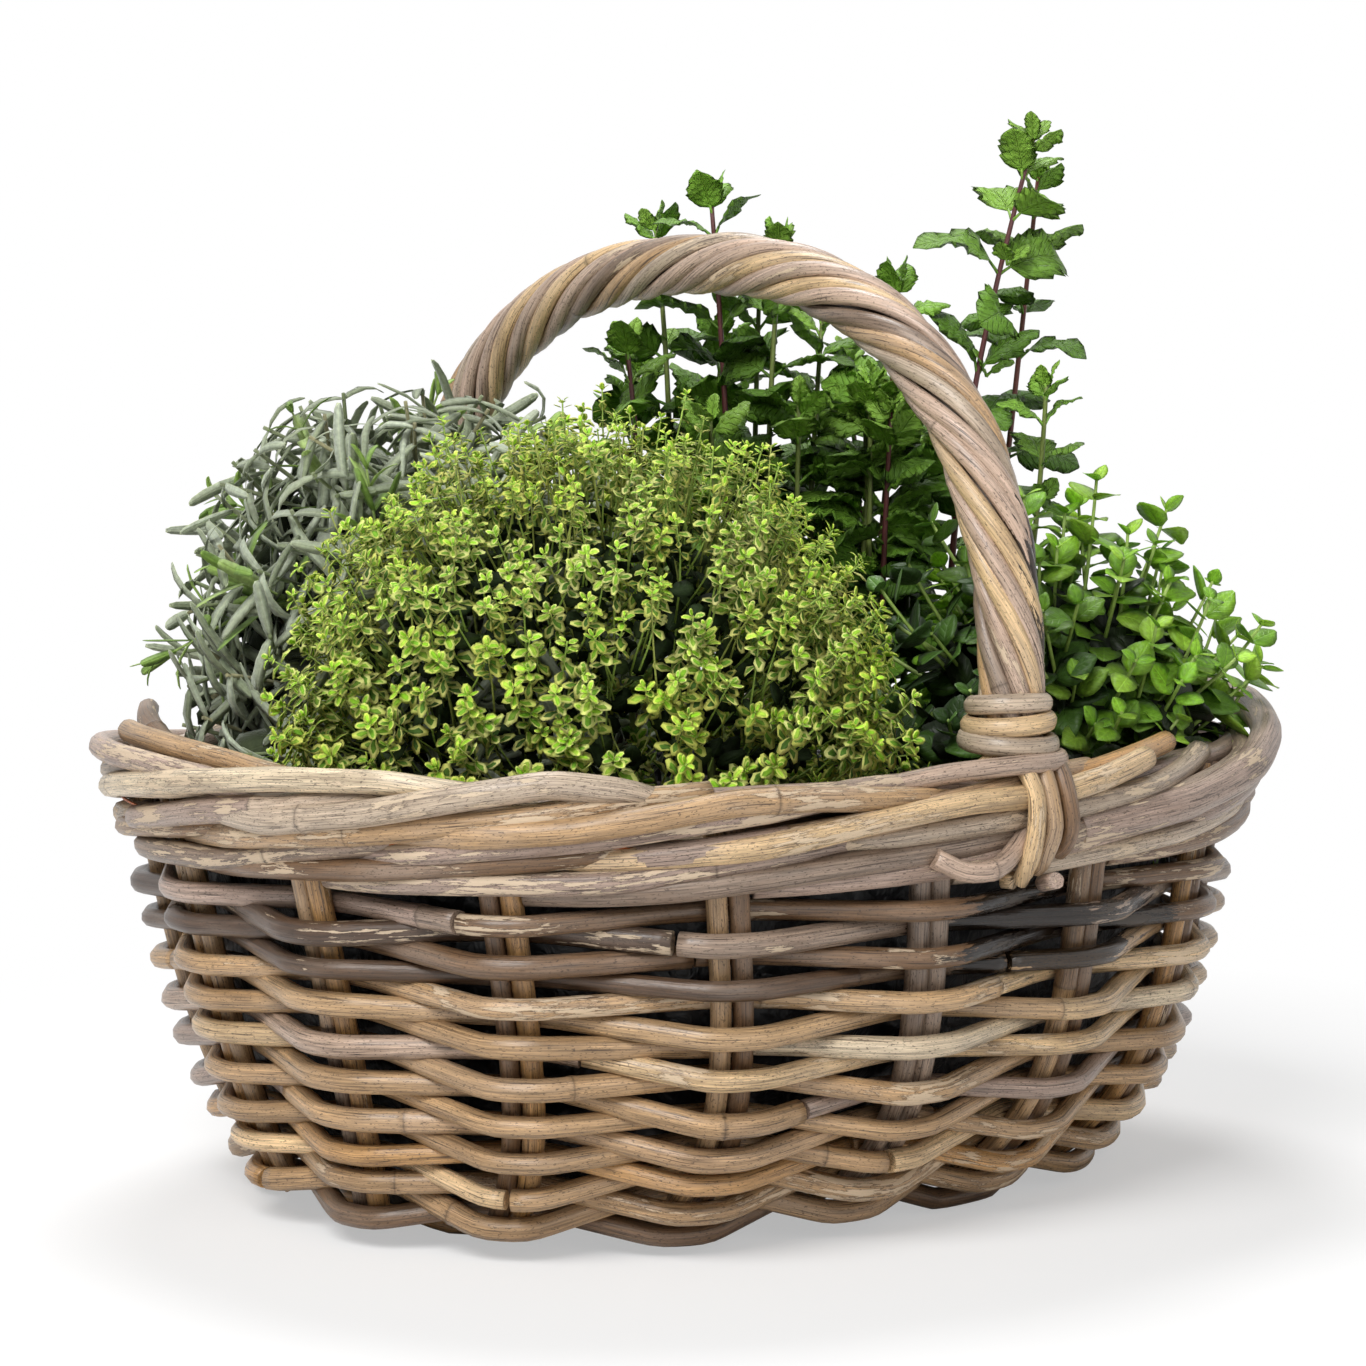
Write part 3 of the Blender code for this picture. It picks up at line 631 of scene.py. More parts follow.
def handlePath():
    # the middle of the handle, from its front foot to its rear one
    angle = np.linspace(0, math.pi, 900)
    y = -handle["halfSpan"] * signedPower(np.cos(angle), 2 / handle["power"])
    rise = np.abs(np.sin(angle)) ** (2 / handle["power"])
    z = handle["foot"] + (handle["top"] - handle["foot"]) * rise
    y = y - np.sign(y) * handle["footIn"] * (1 - rise) ** 3
    return smoothPath(np.stack([0 * y, y, z], -1), 4 * mm)


arch = handlePath()
archRun = np.linspace(0, 1, len(arch))
archOut = np.cross([1.0, 0, 0], unit(np.gradient(arch, axis=0)))
bundle = newBundle(53)
chance = bundle["chance"]


def handleStain(centre):
    # one strand is blackened low on the front, right side
    away = np.linalg.norm((centre - np.array([0.008, -0.160, 0.212])) / [1, 1, 3.2], axis=1)
    return np.clip(1.25 - away / (12 * mm), 0, 1) * 0.9


for strand in range(handle["strands"]):
    loose = 1 + 0.05 * np.sin(2 * math.pi * (archRun * chance.uniform(1, 3) + chance.uniform()))
    drift = 0.10 * np.sin(2 * math.pi * (archRun * chance.uniform(0.7, 1.6) + chance.uniform()))
    angle = 2 * math.pi * (strand / handle["strands"] - handle["turns"] * archRun) + drift
    away = -np.cos(angle)[:, None] * np.array([1.0, 0, 0]) + np.sin(angle)[:, None] * archOut
    addRod(bundle, arch + away * (handle["seat"] * loose)[:, None],
           handle["strandRadius"] * chance.uniform(0.93, 1.1), handle["strandTones"][strand],
           flat=(1.0, handle["strandHigh"]), lead=away, wear=0.4, stain=handleStain, sides=12)
rodPiece("handleStrands", bundle, handleRattan, "rattan_grey", ("handle_wrap",))
# the core rod gets the dark skin: painted shade that shows in the grooves between the strands
bundle = newBundle(59)
addRod(bundle, arch, handle["coreRadius"], ("dark",), sides=12)
rodPiece("handleCore", bundle, weatheredRattan, "rattan", ("handle_core",))
print("handle done")

# at each foot: wound rings, straps looped down over the rim and a few tails
lashing = dict(
    ringRadius=3.3 * mm, rings=3, firstRing=165.5 * mm, pitch=6.0 * mm, wound=12.8 * mm, strapRadius=3.5 * mm,
    ringTones=(("bleached", "tan"), ("straw",), ("pink", "bleached")),
    # in mm: (sideways, tone, how much shorter) of each strap, and its route as (outwards, height)
    straps=((-7.2, "straw", 0.0), (0.2, "tan", 3.0), (7.8, "brown", 7.0)),
    strapDown=((3.0, 166.0), (9.0, 163.0), (14.5, 158.5), (18.5, 152.0), (20.0, 146.0), (20.0, 139.0)),
    strapEnd=((19.0, 131.0), (16.5, 125.0), (12.0, 121.5), (6.0, 122.0)),
    # loose tails: tone, radius and points as (sideways, outwards, height), all in mm
    tails=(
        ("pink", 3.3, [(14.0, 9.0, 160.0), (10.0, 14.0, 159.5), (-4.0, 16.6, 159.5), (-18.0, 13.5, 159.0),
                       (-36.0, 8.0, 157.6), (-54.0, 2.0, 154.5), (-62.0, -1.0, 151.0)]),
        ("straw", 3.0, [(-4.0, 4.0, 165.0), (-12.0, 3.0, 159.5), (-24.0, 2.0, 150.0), (-31.0, 1.0, 143.0)]),
        ("pink", 3.3, [(-44.0, 12.0, 132.0), (-34.0, 16.0, 126.5), (-22.0, 18.0, 127.0),
                       (-12.0, 15.0, 131.5), (-4.0, 12.0, 137.0), (3.0, 10.0, 141.0)]),
        ("mauve", 2.7, [(4.0, 12.0, 120.0), (1.5, 21.0, 122.0)]),
    ),
)
for side, place in ((-1, "front"), (1, "back")):
    bundle = newBundle(61 + side)
    middle = side * (handle["halfSpan"] - handle["footIn"])
    for ring in range(lashing["rings"]):
        angle = np.linspace(0, 2 * math.pi, 160)
        wide = lashing["wound"] * (1.10 - 0.09 * ring)
        level = lashing["firstRing"] + lashing["pitch"] * ring + 1.1 * mm * np.sin(angle + ring * 1.7)
        path = np.stack([wide * np.cos(angle), middle + wide * np.sin(angle), level], -1)
        addRod(bundle, path, lashing["ringRadius"], lashing["ringTones"][ring],
               flat=(0.82, 1.0), wear=0.3, nodeGap=(0.5, 0.6), sides=12)
    rodPiece("handleBinding_" + place, bundle, handleRattan, "rattan_grey", ("handle_binding_" + place,))
    bundle = newBundle(71 + side)
    chance = bundle["chance"]
    for across, tone, shorter in lashing["straps"]:
        route = list(lashing["strapDown"]) + [(y, z + shorter) for y, z in lashing["strapEnd"]]
        path = [((0.2 * i * chance.uniform(-1, 2) - side * across) * mm, middle + side * y * mm, z * mm)
                for i, (y, z) in enumerate(route)]
        addRod(bundle, smoothPath(path, 12 * mm), lashing["strapRadius"] * chance.uniform(0.92, 1.05),
               (tone,), flat=(1.0, 0.85), lead=(0, side, 0.3), sides=12, wear=0.5, nodeGap=(0.5, 0.6),
               lumpy=0.06)
    for tone, radius, controls in lashing["tails"]:
        path = [(side * -x * mm, middle + side * y * mm, z * mm) for x, y, z in controls]
        addRod(bundle, smoothPath(path, 16 * mm), radius * mm, (tone,),
               sides=12, wear=0.4, nodeGap=(0.5, 0.6))
    rodPiece("handleStraps_" + place, bundle, handleRattan, "rattan_grey", ("handle_strap_" + place,))
print("lashings done")

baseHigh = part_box("base_mat")[1]
base = dict(
    halfLength=baseHigh.x - 3 * mm, halfWidth=baseHigh.y - 3 * mm, height=4.1 * mm, lift=1.6 * mm,
    sticks=14, sticksReach=0.97, stickRadius=2.1 * mm, rodRadius=2.4 * mm, pitch=6.4 * mm,
)
bundle = newBundle(83)
power = basket["ovalPower"]
for spread in (np.arange(base["sticks"]) + 0.5) / base["sticks"] * 2 - 1:
    x = spread * base["halfLength"] * base["sticksReach"]
    half = base["halfWidth"] * (1 - abs(x / base["halfLength"]) ** power) ** (1 / power)
    path = [(x, y, base["height"]) for y in (-half, 0, half)]
    addRod(bundle, smoothPath(path, 10 * mm), base["stickRadius"], ("tan", "brown"))
for ring in range(int(base["halfWidth"] / base["pitch"])):
    a, b = base["halfLength"] - ring * base["pitch"], base["halfWidth"] - ring * base["pitch"]
    turn = np.linspace(0, 2 * math.pi, 300)
    x, y = a * signedPower(np.cos(turn), 2 / power), b * signedPower(np.sin(turn), 2 / power)
    # over one stick and under the next, the other way round in the next ring
    phase = (x / (base["halfLength"] * base["sticksReach"]) + 1) * base["sticks"] / 2 * math.pi
    z = base["height"] + base["lift"] * np.clip(2.2 * np.sin(phase), -1, 1) * (1 if ring % 2 else -1)
    addRod(bundle, np.stack([x, y, z], -1), base["rodRadius"], ("tan", "honey", "brown"),
           sides=6, step=6.5 * mm, wear=0.3)
rodPiece("baseWeave", bundle, weatheredRattan, "rattan", ("base_mat",))
print("base done")

linerLow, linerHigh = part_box("liner")
liner = dict(inset=13.4 * mm, thick=0.6 * mm, crease=1.6 * mm, above=4 * mm, footIn=4 * mm,
             around=180, levels=20)
chance = np.random.default_rng(91)


def ripples(u, v, count, low, high):
    # a sum of waves over the unwrapped film, with low to high of them round the basket
    value = np.zeros(np.broadcast(u, v).shape)
    for _ in range(count):
        around, up = chance.integers(low, high), chance.uniform(-3, 3) * 2
        value += np.sin(2 * math.pi * (around * u + up * v + chance.uniform())) / count ** 0.5
    return value


def linerShell():
    # a crumpled skin with an inner side, a lip that joins them and a flat floor
    share, climb = np.arange(liner["around"]) / liner["around"], np.linspace(0, 1, liner["levels"])
    gridU, gridV = np.meshgrid(share, climb)
    height = linerLow.z + (linerHigh.z + liner["above"] - linerLow.z) * gridV ** 0.9
    folds = ripples(gridU, gridV, 14, 3, 60)
    creases = np.abs(ripples(gridU, gridV, 10, 10, 90))
    out = -liner["inset"] + liner["crease"] * (np.clip(folds * 0.6 - creases * 0.5, -1, 1) - 0.6)
    out = out - liner["footIn"] * np.clip(1 - gridV * 6, 0, 1) ** 2
    outer, inner = wallAt(gridU, height, out), wallAt(gridU, height, out - liner["thick"])
    points = np.concatenate([
        outer.reshape(-1, 3), inner.reshape(-1, 3),
        [[0, 0, linerLow.z], [0, 0, linerLow.z + liner["thick"]]]])
    index = np.arange(gridU.size).reshape(gridU.shape)
    within = index + gridU.size
    skin = ringQuads(index)
    inside = skin[:, ::-1] + gridU.size
    lip = ringQuads(np.stack([index[-1], within[-1]]))
    under = fan(index[0][::-1], 2 * gridU.size)
    floor = fan(within[0], 2 * gridU.size + 1)
    return points, [skin, inside, lip, under, floor]


# polythene liner, black blown film: glossy, with soft crease highlights
film, tree = newMaterial("black polythene film")
place = addNode(tree, "TexCoord", out="Object")
creased = addNode(tree, "TexNoise", {
    "Vector": place, "Scale": 1 / (8 * mm), "Detail": 4.0, "Distortion": 1.2})
bump = addNode(tree, "Bump", {"Height": creased, "Strength": 0.5, "Distance": 4 * mm})
shader = addNode(tree, "BsdfPrincipled", {
    "Base Color": linearColour("#111214"), "Roughness": 0.38, "IOR": 1.51, "Normal": bump})
addNode(tree, "OutputMaterial", {0: shader})
points, faces = linerShell()
meshPiece("linerFilm", points, faces, film, "liner_film", ("liner",), smooth=2)

soilLow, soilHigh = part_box("soil")
soil = dict(
    rings=36, around=160, levels=12, inset=4.5 * mm, lowInset=6 * mm, sunk=3 * mm, edgeSunk=6 * mm,
    # (spacing, height) of the lumps, from the shovel's heaps to the crumbs
    lumps=((30 * mm, 2.2 * mm), (12 * mm, 1.4 * mm), (5.5 * mm, 1.0 * mm), (2.8 * mm, 0.6 * mm)),
)


def soilBlock():
    # a crumbly top on a plain block, both inside the liner
    turn = 2 * math.pi * np.arange(soil["around"]) / soil["around"]
    share = np.linspace(1, 0, soil["rings"])[:, None]
    edge = wallPoint(turn, soilHigh.z - 4 * mm, -liner["inset"] - soil["inset"])
    x, y = edge[:, 0] * share, edge[:, 1] * share
    z = soilHigh.z + 0.0 * x
    for size, height in soil["lumps"]:
        for _ in range(7):
            way, phase = chance.uniform(0, math.pi), chance.uniform(0, 6.28)
            z = z + height / 2.6 * np.sin((x * math.cos(way) + y * math.sin(way)) * 6.28 / size + phase)
    z = np.minimum(z - soil["sunk"], soilHigh.z + 1 * mm)
    z[0] = soilHigh.z - soil["edgeSunk"]
    top = np.stack([x, y, z], -1)
    foot = soilLow.z + 1 * mm
    levels = np.linspace(soilHigh.z - 20 * mm, foot, soil["levels"])
    sides = np.stack([
        wallPoint(turn, level, -liner["inset"] - soil["lowInset"] - 12 * mm * (1 - level / (100 * mm)) ** 4)
        for level in levels])
    grid = np.concatenate([top[:-1][::-1], sides])
    index = np.arange(len(grid) * soil["around"]).reshape(len(grid), -1)
    points = np.concatenate([grid.reshape(-1, 3), [top[-1, 0], [0, 0, foot]]])
    crown = fan(index[0], index.size)
    under = fan(index[-1][::-1], index.size + 1)
    return points, [ringQuads(index)[:, ::-1], crown, under]


# peat compost: dark brown crumbs, a few paler fibres and bark chips
peat, tree = newMaterial("peat compost, loose")
place = addNode(tree, "TexCoord", out="Object")
crumbs = addNode(tree, "TexVoronoi", {"Vector": place, "Scale": 1 / (2.4 * mm)}, feature="F1")
clods = addNode(tree, "TexNoise", {"Vector": place, "Scale": 1 / (5 * mm), "Detail": 7.0, "Roughness": 0.68})
tint = addNode(tree, "ValToRGB", {0: clods}, stops=[
    (0.36, "#0f0b08"), (0.50, "#2a1f17"), (0.60, "#4b392b"), (0.68, "#8a745a")])
bump = addNode(tree, "Bump", {"Height": crumbs, "Strength": 1.0, "Distance": 3 * mm})
shader = addNode(tree, "BsdfPrincipled", {"Base Color": tint, "Roughness": 0.92, "Normal": bump})
addNode(tree, "OutputMaterial", {0: shader})
points, faces = soilBlock()
meshPiece("soilTop", points, faces, peat, "potting_soil", ("soil",))
print("liner and soil done")


def newFoliage(seed):
    # leaves or stems that become one piece, with their own random numbers
    return dict(points=[], quads=[], caps=[], tone=[], spot=[], count=0, chance=np.random.default_rng(seed))


# how far plants may reach, as a share of the wall's plan, at heights below and over the rim
room = dict(heights=(120 * mm, 150 * mm, 166 * mm), reach=(0.89, 0.92, 1.4))


def keepInside(points):
    # what is below the rim stays within the wall
    reach = np.interp(points[..., 2], room["heights"], room["reach"])
    n = basket["ovalPower"]
    x, y = np.abs(points[..., 0] / basket["halfLength"]), np.abs(points[..., 1] / basket["halfWidth"])
    pull = np.minimum(reach / np.maximum(x ** n + y ** n, 1e-9) ** (1 / n), 1)
    return points * np.stack([pull, pull, np.ones_like(pull)], -1)


def addSkins(foliage, rings, tone, spot):
    # closed tubes from (count, stations, around, 3) points, with flat ends
    rings = keepInside(rings)
    count, stations, around = rings.shape[:3]
    index = foliage["count"] + np.arange(count * stations * around).reshape(count, stations, around)
    foliage["points"].append(rings.reshape(-1, 3))
    foliage["quads"].append(ringQuads(index))
    foliage["caps"].append(np.concatenate([index[:, 0, ::-1], index[:, -1]]))
    foliage["tone"].append(np.broadcast_to(tone[:, None, None], rings.shape).reshape(-1, 3))
    foliage["spot"].append(spot.reshape(-1, 3))
    foliage["count"] += count * stations * around


def curledLine(feet, forward, up, length, curl, places):
    # the midrib of each leaf, bent away from its face: points, tangents and normals
    bend = curl[:, None] * places
    tangent = forward[:, None] * np.cos(bend)[..., None] - up[:, None] * np.sin(bend)[..., None]
    normal = up[:, None] * np.cos(bend)[..., None] + forward[:, None] * np.sin(bend)[..., None]
    step = length[:, None, None] * np.diff(places)[None, :, None]
    run = np.cumsum((tangent[:, :-1] + tangent[:, 1:]) / 2 * step, axis=1)
    return feet[:, None] + np.concatenate([np.zeros((len(feet), 1, 3)), run], axis=1), tangent, normal


def addLeaves(foliage, feet, forward, face, length, width, outline, tone, columns=3,
              curl=0.3, cup=0.15, wave=0.0, thick=0.05, teeth=0.0, crinkle=0.0, places=None, edged=1):
    # thin closed leaves; outline is the half width at places along the leaf, as a share of the widest.
    # cup lifts the edges, wave ripples them, teeth notches them and crinkle puckers the face
    chance = foliage["chance"]
    count = len(feet)
    outline = np.asarray(outline, float)
    s = np.linspace(0, 1, len(outline)) if places is None else np.asarray(places, float)
    length, width, curl, cup = (
        np.broadcast_to(np.asarray(value, float), (count,)) for value in (length, width, curl, cup))
    forward = unit(forward)
    side = unit(np.cross(forward, face))
    middle, tangent, normal = curledLine(feet, forward, np.cross(side, forward), length, curl, s)
    half = (width[:, None] / 2 * outline)[..., None]
    # round the section: across the face and back under it, with skin up or down
    top = np.linspace(-1, 1, columns)
    x = np.concatenate([top, top[-2:0:-1]])
    skin = np.concatenate([np.ones(columns), -np.ones(columns - 2)])
    lift = cup[:, None, None] * half * np.abs(x) ** 1.6
    lift = lift + skin * thick * half * (1 - x ** 2)
    s = s[None, :, None]
    if wave:
        phase = chance.uniform(0, 6.28, (count, 1, 1))
        ripple = np.sin(s * chance.uniform(7, 12, (count, 1, 1)) + phase + (x > 0) * 2.0)
        lift = lift + wave * half * ripple * np.abs(x)
    if crinkle:
        veins = np.sin((s - 0.45 * np.abs(x)) * 2 * math.pi * 6.5)
        lift = lift + crinkle * half * veins * (1 - np.abs(x)) * np.abs(x) * 3.2
    out = x * half
    along = np.zeros_like(out)
    if teeth:
        notch = np.where(np.arange(len(outline)) % 2 == 0, 1.0, -1.0)[None, :, None] * (np.abs(x) > 0.99)
        notch = notch * np.sin(math.pi * np.clip(s * 1.1, 0, 1))
        out = out * (1 + teeth * notch)
        along = teeth * 1.2 * notch * half
    rings = (
        middle[:, :, None] + side[:, None, None] * out[..., None]
        + normal[:, :, None] * lift[..., None] + tangent[:, :, None] * along[..., None]
    )
    edge = edged * np.maximum(np.abs(x)[None, None], s > 0.995)
    start = 100 * np.floor(chance.uniform(0, 90, (count, 1, 1)))
    run = s * length[:, None, None] / mm + start
    spot = np.stack(np.broadcast_arrays(x * half / mm, run, edge), -1)
    addSkins(foliage, rings, tone, spot)


def addStems(foliage, paths, radius, tone, sides=5, taper=0.6, square=0.0):
    # tapering stems along paths, which is (count, stations, 3); square gives them corners
    count, stations = paths.shape[:2]
    tangent = unit(np.gradient(paths, axis=1))
    lead = unit(np.cross(tangent, np.broadcast_to([0.3, 0.9, 0.1], tangent.shape)))
    other = np.cross(tangent, lead)
    angle = 2 * math.pi * np.arange(sides) / sides
    corner = 1 + square * np.cos(4 * angle)
    radius = np.broadcast_to(np.asarray(radius, float), (count,))[:, None] * np.linspace(1, taper, stations)
    size = radius[..., None] * corner
    rings = (
        paths[:, :, None] + lead[:, :, None] * (size * np.cos(angle))[..., None]
        + other[:, :, None] * (size * np.sin(angle))[..., None]
    )
    run = np.linspace(0, 60, stations)[None, :, None]
    start = foliage["chance"].uniform(0, 900, (count, 1, 1))
    spot = np.stack(np.broadcast_arrays(angle, run + start, 0.0), -1)
    addSkins(foliage, rings, tone, spot)


def foliagePiece(name, foliage, material, slotName, replaced=()):
    faces = [np.concatenate(foliage["quads"])]
    for corners in sorted({caps.shape[1] for caps in foliage["caps"]}):
        faces.append(np.concatenate([caps for caps in foliage["caps"] if caps.shape[1] == corners]))
    return meshPiece(name, np.concatenate(foliage["points"]), faces, material, slotName, replaced,
                     leafTone=np.concatenate(foliage["tone"]), leafSpot=np.concatenate(foliage["spot"]))


def tones(chance, names, count, spread=0.12):
    # a random pick of the named hex colours for each leaf, each a little lighter or darker
    palette = np.array([linearColour(name)[:3] for name in names])
    picked = palette[chance.integers(len(names), size=count)]
    return picked * np.exp(chance.normal(0, spread, (count, 1)))


def mixTones(a, b, share):
    return a + (b - a) * np.clip(share, 0, 1)[..., None]


def leafMaterial(name, edgeColours=None, edgeStart=0.7, vein=0.25, veinGap=1.6, sheen=0.0, rough=0.5,
                 glow=0.12, fuzz=0.0, relief=0.4, gloss=0.5):
    # leaf blade; leafSpot is mm across, mm along, and how near the edge. veinGap is in mm, and glow
    # is how much light comes through
    material, tree = newMaterial(name)
    spot = addNode(tree, "Attribute", out="Vector", attribute_name="leafSpot")
    tone = addNode(tree, "Attribute", out="Vector", attribute_name="leafTone")
    across, along, edge = addNode(tree, "SeparateXYZ", {0: spot}).node.outputs
    distance = addNode(tree, "Math", {0: across}, operation="ABSOLUTE")
    # side veins run forward from the midrib at about 45 degrees
    slant = addNode(tree, "Math", {0: distance, 1: -0.9, 2: along}, operation="MULTIPLY_ADD")
    wave = addNode(tree, "Math", {0: slant, 1: 2 * math.pi / veinGap}, operation="MULTIPLY")
    wave = addNode(tree, "Math", {0: wave}, operation="COSINE")
    sideVein = addNode(tree, "MapRange", {"Value": wave, "From Min": 0.6, "From Max": 1.0, "To Max": 0.6})
    midrib = addNode(tree, "MapRange", {"Value": distance, "From Min": 0.45, "From Max": 0.1})
    veins = addNode(tree, "Math", {0: sideVein, 1: midrib}, operation="MAXIMUM")
    flatSpot = addNode(tree, "CombineXYZ", {0: across, 1: along, 2: 0.0})
    mottle = addNode(tree, "TexNoise", {"Vector": flatSpot, "Scale": 1 / 1.8, "Detail": 4.0})
    shade = addNode(tree, "ValToRGB", {0: mottle}, stops=[(0.3, 0.78), (0.7, 1.25)])
    colour = addNode(tree, "Mix", {0: 1.0, 6: tone, 7: shade}, **multiply)
    # veins are nearly twice as bright as the blade
    pale = addNode(tree, "Mix", {0: 1.0, 6: tone, 7: (1.9, 1.8, 1.6, 1)}, **multiply)
    share = addNode(tree, "Math", {0: veins, 1: vein}, operation="MULTIPLY")
    colour = addNode(tree, "Mix", {0: share, 6: colour, 7: pale}, **cover)
    if edgeColours:
        # a paler margin, ragged on its inner side and not the same all over the plant
        ragged = addNode(tree, "Math", {0: mottle, 1: 0.35, 2: edge}, operation="MULTIPLY_ADD")
        share = addNode(tree, "MapRange", {
            "Value": ragged, "From Min": edgeStart + 0.175, "From Max": edgeStart + 0.255, "To Max": 0.95})
        place = addNode(tree, "TexCoord", out="Object")
        patches = addNode(tree, "TexNoise", {"Vector": place, "Scale": 1 / (26 * mm), "Detail": 2.0})
        margin = addNode(tree, "ValToRGB", {0: patches}, stops=list(zip((0.42, 0.60), edgeColours)))
        bright = addNode(tree, "Mix", {0: 1.0, 6: tone, 7: (2.4, 2.3, 1.6, 1)}, **multiply)
        margin = addNode(tree, "Mix", {0: 0.25, 6: margin, 7: bright}, **cover)
        colour = addNode(tree, "Mix", {0: share, 6: colour, 7: margin}, **cover)
    grain = addNode(tree, "TexNoise", {"Vector": flatSpot, "Scale": 1 / 0.38, "Detail": 3.0})
    height = addNode(tree, "Math", {0: grain, 1: 0.4 + fuzz}, operation="MULTIPLY")
    height = addNode(tree, "Math", {0: height, 1: veins}, operation="SUBTRACT")
    bump = addNode(tree, "Bump", {"Height": height, "Strength": relief, "Distance": 0.5 * mm})
    shader = addNode(tree, "BsdfPrincipled", {
        "Base Color": colour, "Roughness": rough, "IOR": 1.45, "Specular IOR Level": gloss,
        "Sheen Weight": sheen, "Sheen Roughness": 0.4, "Sheen Tint": linearColour("#dfe6d8"), "Normal": bump})
    through = addNode(tree, "BsdfTranslucent", {"Color": colour, "Normal": bump})
    mixed = addNode(tree, "MixShader", {0: glow, 1: shader, 2: through})
    addNode(tree, "OutputMaterial", {0: mixed})
    return material


def shootPaths(tips, grow, bend, length, stations):
    # stems that end at the tips, bending away from grow towards the foot
    back = 1 - np.linspace(0, 1, stations)[None, :, None]
    return tips[:, None] - (grow[:, None] + bend * back) * length * back


def alongPaths(paths, share):
    # the point and the direction at a share of each path
    place = np.clip(share, 0, 1) * (paths.shape[1] - 1)
    low = np.minimum(place.astype(int), paths.shape[1] - 2)
    rows = np.arange(len(paths))
    start, end = paths[rows, low], paths[rows, low + 1]
    return start + (end - start) * (place - low)[:, None], unit(end - start)


def leafWays(tangent, turn, rise):
    # out from the stem at turn, along a leaf that is raised by rise, and square to its face
    lead = unit(np.cross(tangent, np.array([0.31, 0.17, 0.93]) + 0 * tangent))
    other = np.cross(tangent, lead)
    sideways = lead * np.cos(turn)[:, None] + other * np.sin(turn)[:, None]
    high, level = np.sin(rise)[..., None], np.cos(rise)[..., None]
    return sideways, sideways * level + tangent * high, tangent * level - sideways * high


def cushionTips(chance, plant, count, low, high, share=1.0, wider=0.0, spread=1.0, full=0.5):
    # tips over a plant's cushion, with the outward direction of each; share and wider change its
    # plan, a spread over 1 carries on below its widest part, and a lower full fills out its sides
    semi = [share * value + wider for value in plant["semi"]]
    golden = math.pi * (3 - 5 ** 0.5)
    k = np.arange(count) + 0.5
    tilt = np.arccos(1 - k / count * spread)
    angle = k * golden + chance.normal(0, 0.12, count)
    sinTilt, cosTilt = np.sin(tilt) ** (2 * full), np.cos(tilt)
    flat = np.stack([semi[0] * sinTilt * np.cos(angle), semi[1] * sinTilt * np.sin(angle)], -1)
    out = np.stack([sinTilt * np.cos(angle) / semi[0], sinTilt * np.sin(angle) / semi[1]], -1)
    c, s = math.cos(plant["turned"]), math.sin(plant["turned"])
    spin = np.array([[c, s], [-s, c]])
    flat, out = flat @ spin, out @ spin
    height = low + (high - low) * np.sign(cosTilt) * np.abs(cosTilt) ** 0.9
    points = np.concatenate([flat + plant["centre"], height[:, None]], axis=1)
    normal = unit(np.concatenate([out, (cosTilt / (high - low))[:, None]], axis=1))
    return points, normal


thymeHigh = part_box("thyme_cushion")[1]
thyme = dict(
    # centre and half sizes of its plan, how far that is turned, and the height of its widest part
    centre=(-0.093, -0.0585), semi=(0.100, 0.066), turned=math.radians(-39.8),
    skirt=157 * mm, clumpHigh=7 * mm, sprigs=800, sprigLength=(22 * mm, 42 * mm), pairs=6,
    # of each pair of leaves from the tip down: metres from the tip, how steeply they rise, and size
    pairGap=(0.0003, 0.0009, 0.0024, 0.0052, 0.0086, 0.0126),
    pairRise=(0.85, 0.45, 0.20, 0.0, -0.12, -0.22), pairSize=(0.50, 0.74, 0.84, 0.98, 1.05, 1.08),
    leafLength=4.6 * mm, leafWidth=3.1 * mm, stemRadius=0.42 * mm, petiole=0.5 * mm,
    youngShape=dict(outline=[0.34, 0.98, 0.95, 0.42], places=(0, 0.30, 0.72, 1)),
    oldShape=dict(outline=[0.36, 1.0, 0.46], places=(0, 0.52, 1)),
)
newest, stems, older = newFoliage(101), newFoliage(102), newFoliage(103)
chance = newest["chance"]
tips, outward = cushionTips(chance, thyme, thyme["sprigs"], thyme["skirt"], thymeHigh.z - 1 * mm, spread=1.16)
clump = np.sin(tips[:, 0] * 190 + 1) * np.sin(tips[:, 1] * 210) * np.sin(tips[:, 2] * 160 + 2)
reach = thyme["clumpHigh"] * clump + np.maximum(chance.normal(0, 4 * mm, len(tips)), -3 * mm)
tips = tips + chance.normal(0, 3 * mm, tips.shape) + outward * reach[:, None]
grow = unit(outward * 0.95 + [0, 0, 0.62] + chance.normal(0, 0.20, tips.shape))
lower = np.clip((thymeHigh.z - tips[:, 2]) / (110 * mm), 0, 1)      # leaves are larger towards the rim
sprigLength = chance.uniform(*thyme["sprigLength"], thyme["sprigs"])
sag = chance.normal(0, 0.10, (thyme["sprigs"], 3))
paths = shootPaths(tips, grow, sag[:, None], sprigLength[:, None, None], 4)
skins = tones(chance, ("#93b04c", "#88a044", "#9aa450"), len(paths))
addStems(stems, paths, thyme["stemRadius"], skins, sides=3, taper=0.7)
young = np.clip(chance.normal(0.5, 0.28, thyme["sprigs"]), 0, 1)
